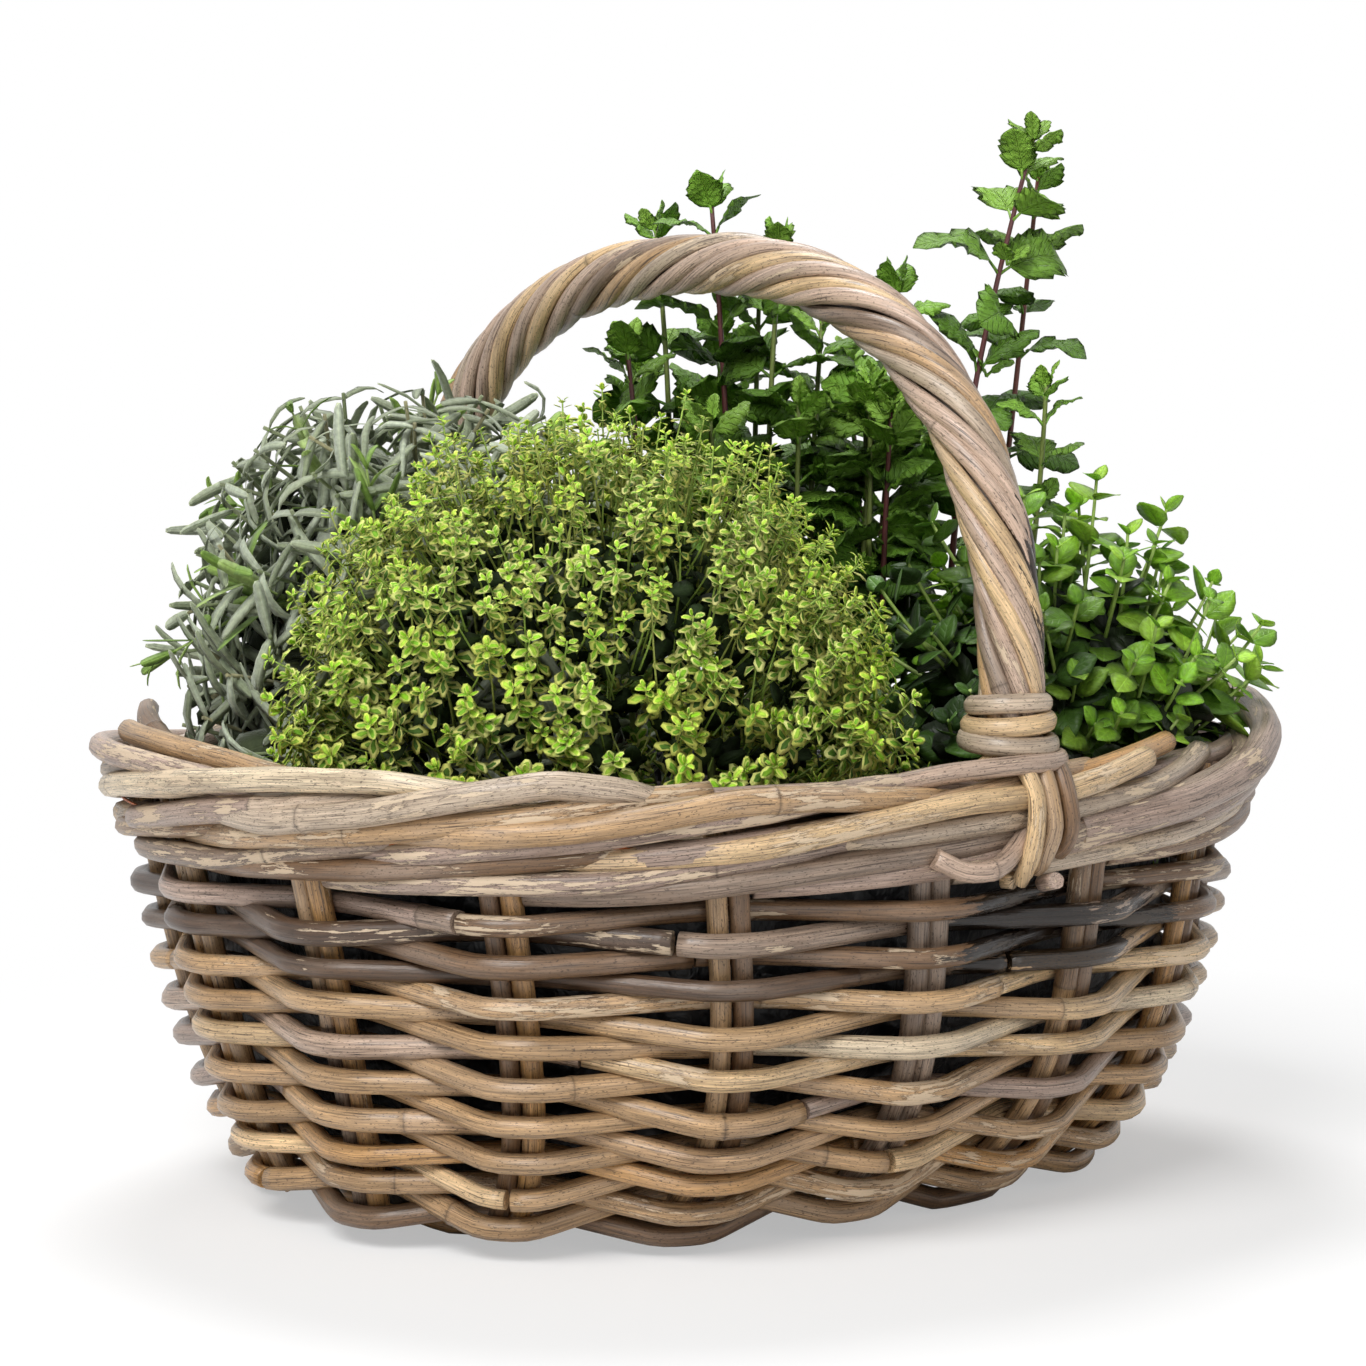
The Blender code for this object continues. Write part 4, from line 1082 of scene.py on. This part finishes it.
for pair in range(thyme["pairs"]):
    foliage, shape = (newest, thyme["youngShape"]) if pair < 3 else (older, thyme["oldShape"])
    point, tangent = alongPaths(paths, 1 - thyme["pairGap"][pair] / sprigLength)
    turn = pair * math.pi / 2 + chance.normal(0, 0.25, thyme["sprigs"]) + young * 3
    size = thyme["pairSize"][pair] * chance.uniform(0.8, 1.2, thyme["sprigs"]) * (0.80 + 0.42 * lower)
    rise = thyme["pairRise"][pair] + chance.normal(0, 0.24, thyme["sprigs"])
    for opposite in (0, math.pi):
        sideways, forward, face = leafWays(tangent, turn + opposite, rise)
        fresh = tones(chance, ("#93cc2e", "#a8da3e", "#84bc36", "#b8de4c"), thyme["sprigs"])
        mature = tones(chance, ("#486a24", "#587c2c", "#3a5620", "#6e9032"), thyme["sprigs"], 0.2)
        tone = mixTones(fresh, mature, pair * 0.30 - 0.25 + (0.5 - young) * 0.8)
        addLeaves(foliage, point + sideways * thyme["petiole"], forward, face, thyme["leafLength"] * size,
                  thyme["leafWidth"] * size * chance.uniform(0.85, 1.15, thyme["sprigs"]), tone=tone, **shape,
                  curl=chance.normal(0.2, 0.5, thyme["sprigs"]),
                  cup=chance.uniform(-0.1, 0.5, thyme["sprigs"]), thick=0.06)


def heartLeaves(foliage, plant, count, share, low, high, size, names):
    # old leaves, darkened with painted shade, that close the inside of a plant, in the given share of its
    # plan
    chance = foliage["chance"]
    feet, outward = cushionTips(chance, plant, count, low, high, share, spread=1.3)
    feet = feet + chance.normal(0, 4 * mm, feet.shape)
    forward = unit(outward * 0.4 + chance.normal(0, 0.8, feet.shape))
    addLeaves(foliage, feet, forward, outward + 0.01, size * chance.uniform(0.7, 1.3, count), size * 0.7,
              [0.25, 0.9, 1.0, 0.4], tones(chance, names, count, 0.2), places=(0, 0.32, 0.74, 1), edged=0)


# inside the thyme: near-black greens, painted shade
heartLeaves(older, thyme, 620, 0.72, 145 * mm, thymeHigh.z - 34 * mm, 8.5 * mm,
            ("#1f2c14", "#2a3818", "#25331a"))
# variegated thyme: waxy little leaves with a ragged cream margin
variegated = leafMaterial("variegated thyme leaf, waxy", edgeColours=("#e5de78", "#f4eca0"), edgeStart=0.46,
                          vein=0.12, veinGap=1.3, rough=0.6, glow=0.16, gloss=0.18)
foliagePiece("thymeTips", newest, variegated, "thyme_leaf", ("thyme_cushion",))
foliagePiece("thymeLeaves", older, variegated, "thyme_leaf")
# thyme stems: thin, fresh and matt, hidden by their leaves
thymeStem = leafMaterial("young green thyme stem", vein=0.0, rough=0.6, glow=0.0)
foliagePiece("thymeStems", stems, thymeStem, "thyme_leaf")
print("thyme done")

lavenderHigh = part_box("lavender_cushion")[1]
lavender = dict(
    centre=(-0.078, 0.061), semi=(0.084, 0.082), turned=math.radians(-39.8), skirt=162 * mm,
    shoots=140, shootLength=75 * mm, stemRadius=1.0 * mm, pairs=8, pairGap=7.5 * mm,
    leafLength=(29 * mm, 43 * mm), leafWidth=(3.4 * mm, 4.6 * mm),
    outline=[0.42, 0.80, 1.0, 0.98, 0.74, 0.34], places=(0, 0.16, 0.44, 0.72, 0.93, 1),
    newShoots=16, newLength=50 * mm, newPairs=6, newStemRadius=0.8 * mm, newLeaf=(30 * mm, 5 * mm),
)
foliage, stems = newFoliage(201), newFoliage(202)
fresh, chance = newFoliage(203), foliage["chance"]
tips, outward = cushionTips(chance, lavender, lavender["shoots"], lavender["skirt"],
                            lavenderHigh.z - 9 * mm, spread=1.22, full=0.33)
grow = unit(outward + chance.normal(0, 0.24, tips.shape))
length = chance.uniform(0.85, 1.15, len(tips)) * lavender["shootLength"]
lean = chance.normal(0, 0.12, (len(tips), 1, 3))
paths = shootPaths(tips, grow, lean, length[:, None, None], 9)
paths[..., 2] = np.maximum(paths[..., 2], 128 * mm)
skins = tones(chance, ("#7d8566", "#8d8a6a", "#6f7a58"), len(paths))
addStems(stems, paths, lavender["stemRadius"], skins, sides=6, taper=0.7)
for pair in range(lavender["pairs"]):
    point, tangent = alongPaths(paths, 1 - (pair * lavender["pairGap"] + 2 * mm) / length)
    turn = pair * math.pi / 2 + chance.normal(0, 0.4, len(tips)) + tips[:, 0] * 90
    for opposite in (0, math.pi):
        rise = np.clip(0.40 - 0.11 * pair, -0.2, 1.1) + chance.normal(0, 0.22, len(tips))
        twist = chance.normal(0, 0.3, len(tips))
        _, forward, face = leafWays(tangent, turn + opposite + twist, rise)
        forward = unit(forward - [0, 0, 0.30])      # the long leaves hang a little
        size = np.clip(0.62 + 0.13 * pair, 0, 1) * chance.uniform(0.8, 1.12, len(tips))
        tone = tones(chance, ("#a0a992", "#949d84", "#aeb7a2", "#858f74", "#9aa38c"), len(tips), 0.13)
        addLeaves(foliage, point, forward, face, chance.uniform(*lavender["leafLength"], len(tips)) * size,
                  chance.uniform(*lavender["leafWidth"], len(tips)), lavender["outline"], tone,
                  curl=chance.normal(1.0, 0.45, len(tips)), cup=chance.uniform(-0.5, 0.2, len(tips)),
                  thick=0.10, places=lavender["places"])
# a few soft new shoots, greener and finer
newTips, newOut = cushionTips(chance, lavender, lavender["newShoots"], lavender["skirt"] + 10 * mm,
                              lavenderHigh.z - 8 * mm, wider=8 * mm, full=0.42)
grow = unit(newOut + [0, 0, 0.3] + chance.normal(0, 0.3, newTips.shape))
newPaths = shootPaths(newTips, grow, 0.0, lavender["newLength"], 9)
addStems(fresh, newPaths, lavender["newStemRadius"], tones(chance, ("#8aa058",), len(newPaths)), taper=0.5)
newLong, newWide = lavender["newLeaf"]
for pair in range(lavender["newPairs"]):
    place = np.full(len(newTips), 1 - pair * lavender["pairGap"] / lavender["newLength"])
    point, tangent = alongPaths(newPaths, place)
    for opposite in (0, math.pi):
        rise = 1.15 - 0.1 * pair + chance.normal(0, 0.3, len(newTips))
        _, forward, face = leafWays(tangent, pair * math.pi / 2 + opposite + newTips[:, 1] * 80, rise)
        size = min(0.35 + 0.16 * pair, 1.0)
        tone = tones(chance, ("#8fae54", "#7f9f4c", "#9fb86c"), len(newTips), 0.12)
        addLeaves(fresh, point, forward, face, newLong * size * chance.uniform(0.8, 1.2, len(newTips)),
                  newWide * min(1, size + 0.2), lavender["outline"], tone,
                  curl=chance.normal(0.7, 0.7, len(newTips)), cup=0.2, thick=0.1, places=lavender["places"])
# inside the lavender: dark grey-greens, painted shade
heartLeaves(foliage, lavender, 420, 0.70, 142 * mm, lavenderHigh.z - 45 * mm, 18 * mm,
            ("#39422c", "#454e36", "#2e3624"))
# lavender: fine grey hairs hide the green and kill every highlight; side veins don't show
felted = leafMaterial("lavender leaf, felted", edgeColours=("#a8b295", "#b6bfa6"), edgeStart=0.86,
                      vein=0.18, veinGap=90, sheen=0.5, rough=0.82, glow=0.06, fuzz=0.6, gloss=0.25)
foliagePiece("lavenderLeaves", foliage, felted, "lavender_leaf", ("lavender_cushion",))
# young lavender leaves: still thin and green, with light coming through
tender = leafMaterial("lavender new growth, soft", vein=0.2, veinGap=90, sheen=0.2, rough=0.6, glow=0.16)
foliagePiece("lavenderNewShoots", fresh, tender, "lavender_leaf")
foliagePiece("lavenderStems", stems, felted, "lavender_leaf")
print("lavender done")

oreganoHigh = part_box("oregano_cushion")[1]
oregano = dict(
    centre=(0.103, -0.083), semi=(0.066, 0.056), turned=math.radians(-39.8), skirt=160 * mm,
    shoots=106, shootLength=85 * mm, stemRadius=1.05 * mm, foot=122 * mm, pairs=6, pairGap=12.5 * mm,
    leafLength=14.8 * mm, leafShape=0.86, petiole=2.2 * mm, pairSize=(0.50, 0.82, 1.0, 1.05, 1.1, 1.1),
    outline=[0.26, 0.84, 1.0, 0.94, 0.66, 0.14],
)
foliage, stems = newFoliage(301), newFoliage(302)
chance = foliage["chance"]
tips, outward = cushionTips(chance, oregano, oregano["shoots"], oregano["skirt"],
                            oreganoHigh.z - 1 * mm, spread=1.12)
tips = tips + chance.normal(0, 6 * mm, tips.shape)
grow = unit(outward * 0.95 + [0, 0, 0.9] + chance.normal(0, 0.18, tips.shape))
length = chance.uniform(0.7, 1.15, len(tips)) * oregano["shootLength"]
length = np.minimum(length, (tips[:, 2] - oregano["foot"]) * 1.25)
paths = shootPaths(tips, grow, outward[:, None] * [0.25, 0.25, 0], length[:, None, None], 10)
paths[..., 2] = np.maximum(paths[..., 2], oregano["foot"])
skins = tones(chance, ("#93b054", "#a3bc66", "#86a04a"), len(paths))
addStems(stems, paths, oregano["stemRadius"], skins, sides=6)
# the side under the handle gets little light
shaded = np.clip((84 * mm - tips[:, 0]) / (24 * mm), 0, 1.5)
for pair in range(oregano["pairs"]):
    place = 1 - (pair * oregano["pairGap"] * (0.55 if pair < 2 else 0.9) + 0.8 * mm) / length
    point, tangent = alongPaths(paths, place)
    keep = place > 0.05
    turn = pair * math.pi / 2 + chance.normal(0, 0.2, len(tips)) + tips[:, 0] * 70
    for opposite in (0, math.pi):
        rise = max(0.75 - 0.16 * pair, 0.05) + chance.normal(0, 0.2, len(tips))
        sideways, forward, face = leafWays(tangent, turn + opposite, rise)
        size = oregano["pairSize"][pair] * chance.uniform(0.85, 1.15, len(tips))
        long = oregano["leafLength"] * size
        bright = tones(chance, ("#92c634", "#a4d044", "#80b430"), len(tips), 0.10)
        deep = tones(chance, ("#3c5c20", "#4a6e28", "#2f4a1c"), len(tips), 0.15)
        tone = mixTones(bright, deep, shaded + (pair - 0.6) * 0.25 + chance.normal(0, 0.12, len(tips)))
        foot = point + sideways * oregano["petiole"] * min(pair, 2) / 2
        addLeaves(foliage, foot[keep], forward[keep], face[keep], long[keep],
                  long[keep] * oregano["leafShape"], oregano["outline"], tone[keep], columns=4,
                  curl=chance.normal(0.30, 0.3, keep.sum()), cup=chance.uniform(-0.1, 0.28, keep.sum()))
# inside the oregano: near-black greens, painted shade
heartLeaves(foliage, oregano, 260, 0.70, 140 * mm, oreganoHigh.z - 40 * mm, 16 * mm,
            ("#1c2a12", "#263618", "#1a2410"))
# oregano: smooth soft leaves, bright where the light comes through
smoothLeaf = leafMaterial("oregano leaf, smooth", vein=0.28, veinGap=2.6, sheen=0.1, rough=0.42, glow=0.2)
foliagePiece("oreganoLeaves", foliage, smoothLeaf, "oregano_leaf", ("oregano_cushion",))
# oregano stems: juicy and pale, with a soft shine
greenStem = leafMaterial("oregano stem, pale green", vein=0.0, rough=0.5, glow=0.0)
foliagePiece("oreganoStems", stems, greenStem, "oregano_leaf")
print("oregano done")

mint = dict(
    leafLength=29 * mm, leafWidth=21.5 * mm, petiole=5.5 * mm, petioleRadius=0.7 * mm, roll=0.5,
    stemRadius=1.5 * mm, pairGap=19.0 * mm, sideShoots=0.55, stations=13,
    # the shorter shoots: how many, where in x and in y, within which half sizes, and how high
    fillers=13, fillX=(0.032, 0.165), fillY=(-0.005, 0.128), plot=(0.175, 0.140), fillHigh=(0.215, 0.290),
    # of the youngest pairs, from the tip down: metres to the pair above, size, and how steeply they rise
    tipGap=(0.002, 0.004, 0.009, 0.015), tipSize=(0.40, 0.56, 0.72, 0.88), tipRise=(1.25, 1.0, 0.85, 0.72),
)
mintStems = (
    # foot (x, y), tip (x, y, z), turn in degrees, pairs, colour of the stem, size of the leaves
    ((0.136, 0.012), (0.1475, -0.022, 0.373), 20, 9, "#5a2f30", 1.0),
    ((0.160, 0.024), (0.170, -0.002, 0.360), 62, 6, "#6a3a33", 0.85),
    ((0.110, 0.040), (0.108, 0.010, 0.320), 10, 7, "#5c4a32", 0.95),
    ((0.078, 0.076), (0.076, 0.080, 0.353), 30, 8, "#5a2f30", 1.05),
    ((0.066, 0.108), (0.0725, 0.109, 0.342), 70, 8, "#6d7a3c", 1.0),
    ((0.090, 0.055), (0.086, 0.051, 0.335), 0, 8, "#6d7a3c", 1.0),
    ((0.096, 0.076), (0.098, 0.077, 0.318), 20, 6, "#6d7a3c", 1.05),
    ((0.098, 0.044), (0.102, 0.045, 0.306), 60, 6, "#6d7a3c", 1.05),
    ((0.118, 0.054), (0.121, 0.055, 0.276), 85, 5, "#5a2f30", 1.0),
    ((0.100, 0.020), (0.104, 0.017, 0.280), 40, 5, "#6d7a3c", 1.0),
    ((0.042, 0.086), (0.041, 0.088, 0.297), 45, 6, "#5a2f30", 1.0),
    ((0.066, 0.026), (0.070, 0.022, 0.275), 80, 5, "#6d7a3c", 0.95),
    ((0.136, 0.072), (0.142, 0.076, 0.290), 25, 6, "#5a2f30", 1.0),
    ((0.104, 0.108), (0.108, 0.110, 0.302), 55, 6, "#6d7a3c", 1.0),
    ((0.122, -0.020), (0.127, -0.050, 0.282), 35, 5, "#6d7a3c", 0.85),
    ((0.060, 0.060), (0.052, 0.060, 0.262), 15, 5, "#6d7a3c", 0.95),
    ((0.100, 0.010), (0.096, 0.000, 0.272), 50, 5, "#5a2f30", 0.95),
    ((0.150, 0.040), (0.160, 0.046, 0.258), 5, 4, "#6d7a3c", 0.9),
)
foliage, stems = newFoliage(401), newFoliage(402)
chance = foliage["chance"]
grown = np.linspace(0, 1, mint["stations"])      # a tooth to every second station
outline = np.sin(math.pi * np.clip(grown * 0.96 + 0.02, 0, 1) ** 0.90) ** 0.58
outline[0], outline[-1] = 0.10, 0.06


def mintPair(point, tangent, turn, rise, size, tone, droop):
    # two leaves opposite each other on short stalks
    for opposite in (0, math.pi):
        spin = np.array([turn + opposite + chance.normal(0, 0.12)])
        angle = rise + chance.normal(0, 0.12)
        _, forward, face = leafWays(tangent[None], spin, angle)
        roll = chance.normal(0, mint["roll"])
        face = face * math.cos(roll) + np.cross(forward, face) * math.sin(roll)
        foot = point + unit(forward + tangent * 0.3) * mint["petiole"] * size
        stalk = np.stack([point + 0 * forward, (point + foot) / 2, foot + forward * mm], axis=1)
        addStems(stems, stalk, mint["petioleRadius"], tone * 0.9, sides=4, taper=0.8)
        scale = size * chance.uniform(0.88, 1.1)
        addLeaves(foliage, foot, forward, face, mint["leafLength"] * scale,
                  mint["leafWidth"] * scale * chance.uniform(0.9, 1.08), outline, tone, columns=5,
                  curl=droop + chance.normal(0, 0.2), cup=chance.uniform(-0.5, 0.2), wave=0.16,
                  teeth=0.08, crinkle=0.16, thick=0.035)


def mintTone(age):
    # bright at the tip, deep green lower down
    light = tones(chance, ("#98c44e", "#88b842"), 1, 0.08)
    dark = tones(chance, ("#5a8428", "#689430", "#4b7022"), 1, 0.12)
    return mixTones(light, dark, np.array([age]))


# shorter shoots fill in round the tall ones
fillers = []
while len(fillers) < mint["fillers"]:
    x, y = chance.uniform(*mint["fillX"]), chance.uniform(*mint["fillY"])
    if (x / mint["plot"][0]) ** 2 + (y / mint["plot"][1]) ** 2 < 1:
        top = chance.uniform(*mint["fillHigh"])
        lean = chance.normal(0, 6 * mm, 2)
        fillers.append(((x, y), (x + lean[0], y + lean[1], top), chance.uniform(0, 90), 5, "#6d7a3c", 1.0))
for foot, tip, turned, pairs, stemColour, leafSize in mintStems + tuple(fillers):
    start, end = np.array([*foot, soilHigh.z - soil["sunk"]]), np.array(tip)
    share = np.linspace(0, 1, 16)[:, None]
    bow = np.array([*chance.normal(0, 4 * mm, 2), 0])
    path = (start + (end - start) * share + bow * np.sin(math.pi * share))[None]
    stemTone = np.array([linearColour(stemColour)[:3]])
    addStems(stems, path, mint["stemRadius"], stemTone, sides=8, taper=0.55, square=0.10)
    height = end[2] - start[2]
    distance = 1.5 * mm
    for pair in range(pairs + 3):
        distance += mint["tipGap"][pair] if pair < 4 else mint["pairGap"] * chance.uniform(0.88, 1.12)
        if distance > height - 12 * mm:
            break
        (point,), (tangent,) = alongPaths(path, np.array([1 - distance / height]))
        size = leafSize * (mint["tipSize"][pair] if pair < 4 else 1.0)
        rise = mint["tipRise"][pair] if pair < 4 else chance.normal(0.62, 0.16)
        turn = math.radians(turned) + pair * math.pi / 2 + chance.normal(0, 0.15)
        age = np.clip(pair * 0.2 + chance.normal(0, 0.1), 0.05, 1.0)
        mintPair(point, tangent, turn, rise, size, mintTone(age), 0.35 + 0.17 * min(pair, 5))
        if pair > 3 and chance.uniform() < mint["sideShoots"]:
            # a short side shoot in the leaf's corner
            small = point + 6 * mm * unit(tangent + 0.8 * chance.normal(0, 1, 3))
            mintPair(small, tangent, turn + 0.5, 0.75, size * 0.42, mintTone(0.25), 0.2)
# mint: deep green, puckered between the veins, with a soft shine
crinkled = leafMaterial("mint leaf, crinkled", vein=0.30, veinGap=2.9, rough=0.44, glow=0.10,
                        relief=1.6, gloss=0.38)
foliagePiece("mintLeaves", foliage, crinkled, "mint_leaf", nodesCalled("mint_shoot"))
# mint stems: square, smooth and a little waxy, from wine red to green
mintStem = leafMaterial("mint stem, square and reddish", vein=0.0, rough=0.45, glow=0.0)
foliagePiece("mintStems", stems, mintStem, "mint_leaf")
print("mint done")

# the camera: metres, radians and the lens in mm
view = dict(away=1.3257, height=0.2778, turn=0.6947, aim=-0.0024, dip=0.0776, lens=98.4, sensor=36)
cameraData = bpy.data.cameras.new("camera")
cameraData.lens = view["lens"]
cameraData.sensor_width = view["sensor"]
camera = bpy.data.objects.new("camera", cameraData)
bpy.context.scene.collection.objects.link(camera)
camera.location = (
    -view["away"] * math.sin(view["turn"]), -view["away"] * math.cos(view["turn"]), view["height"])
camera.rotation_euler = (math.pi / 2 - view["dip"], 0, -(view["turn"] + view["aim"]))
bpy.context.scene.camera = camera

# soft round lamps: place as (right, towards the camera, up) from the object, size across, and watts
lamps = dict(
    key=((-0.6, 1.45, 1.55), 1.2, 39.0),
    fill=((1.0, 1.8, 0.9), 1.5, 7.0),
    top=((-0.15, -0.75, 2.0), 0.8, 25.0),
)
right = Vector((math.cos(view["turn"]), -math.sin(view["turn"]), 0))
near = Vector((-math.sin(view["turn"]), -math.cos(view["turn"]), 0))
lit = Vector((0, 0, 0.16))
for name, (place, size, power) in lamps.items():
    lampData = bpy.data.lights.new(name, "AREA")
    lampData.shape = "DISK"
    lampData.size = size
    lampData.energy = power
    lamp = bpy.data.objects.new(name, lampData)
    lamp.location = right * place[0] + near * place[1] + Vector((0, 0, place[2]))
    lamp.rotation_euler = (lit - lamp.location).to_track_quat("-Z", "Y").to_euler()
    bpy.context.scene.collection.objects.link(lamp)

# clear is where the floor turns to plain white, near and far from the middle of the basket
backdrop = dict(ambient=0.16, floorHalf=3.0, below=0.3 * mm, clear=(0.30, 0.54), shadowless=0.45)
world = bpy.data.worlds.new("studio")
bpy.context.scene.world = world
world.use_nodes = True
tree = world.node_tree
tree.nodes.clear()
# white for rays that show the background itself, soft light for all the others
rays = addNode(tree, "LightPath").node.outputs
seen = addNode(tree, "Math", {0: rays["Is Camera Ray"], 1: rays["Is Glossy Ray"]}, operation="MAXIMUM")
seen = addNode(tree, "Math", {0: seen, 1: rays["Is Transmission Ray"]}, operation="MAXIMUM")
plain = addNode(tree, "Background", {"Color": (1, 1, 1, 1), "Strength": backdrop["ambient"]})
white = addNode(tree, "Background", {"Color": (1, 1, 1, 1), "Strength": 1.0})
mixed = addNode(tree, "MixShader", {0: seen, 1: plain, 2: white})
addNode(tree, "OutputWorld", {0: mixed})

# painted board, matt: takes the object's shadow and stays white where nothing shades it
floorMaterial, tree = newMaterial("matt white studio floor")
matt = addNode(tree, "BsdfDiffuse", {"Color": linearColour("#f4f4f4")})
glow = addNode(tree, "Emission", {"Color": (1, 1, 1, 1), "Strength": 1.0})
# plain white further out, so that only the object's own shadow shows
place = addNode(tree, "NewGeometry", out="Position")
away = addNode(tree, "VectorMath", {0: place}, out="Value", operation="LENGTH")
clear = addNode(tree, "MapRange", {
    "Value": away, "From Min": backdrop["clear"][0], "From Max": backdrop["clear"][1],
    "To Min": backdrop["shadowless"], "To Max": 1.0})
rays = addNode(tree, "LightPath", out="Is Camera Ray")
seen = addNode(tree, "Math", {0: rays, 1: clear}, operation="MULTIPLY")
mixed = addNode(tree, "MixShader", {0: seen, 1: matt, 2: glow})
addNode(tree, "OutputMaterial", {0: mixed})
half = backdrop["floorHalf"]
floorMesh = bpy.data.meshes.new("floor")
corners = [(-half, -half, 0), (half, -half, 0), (half, half, 0), (-half, half, 0)]
floorMesh.from_pydata(corners, [], [(0, 1, 2, 3)])
floorMesh.materials.append(floorMaterial)
floor = bpy.data.objects.new("floor", floorMesh)
floor.location.z = cadBox[0][2] - backdrop["below"]
bpy.context.scene.collection.objects.link(floor)
bpy.context.scene.view_settings.view_transform = "Standard"

print("scene done")
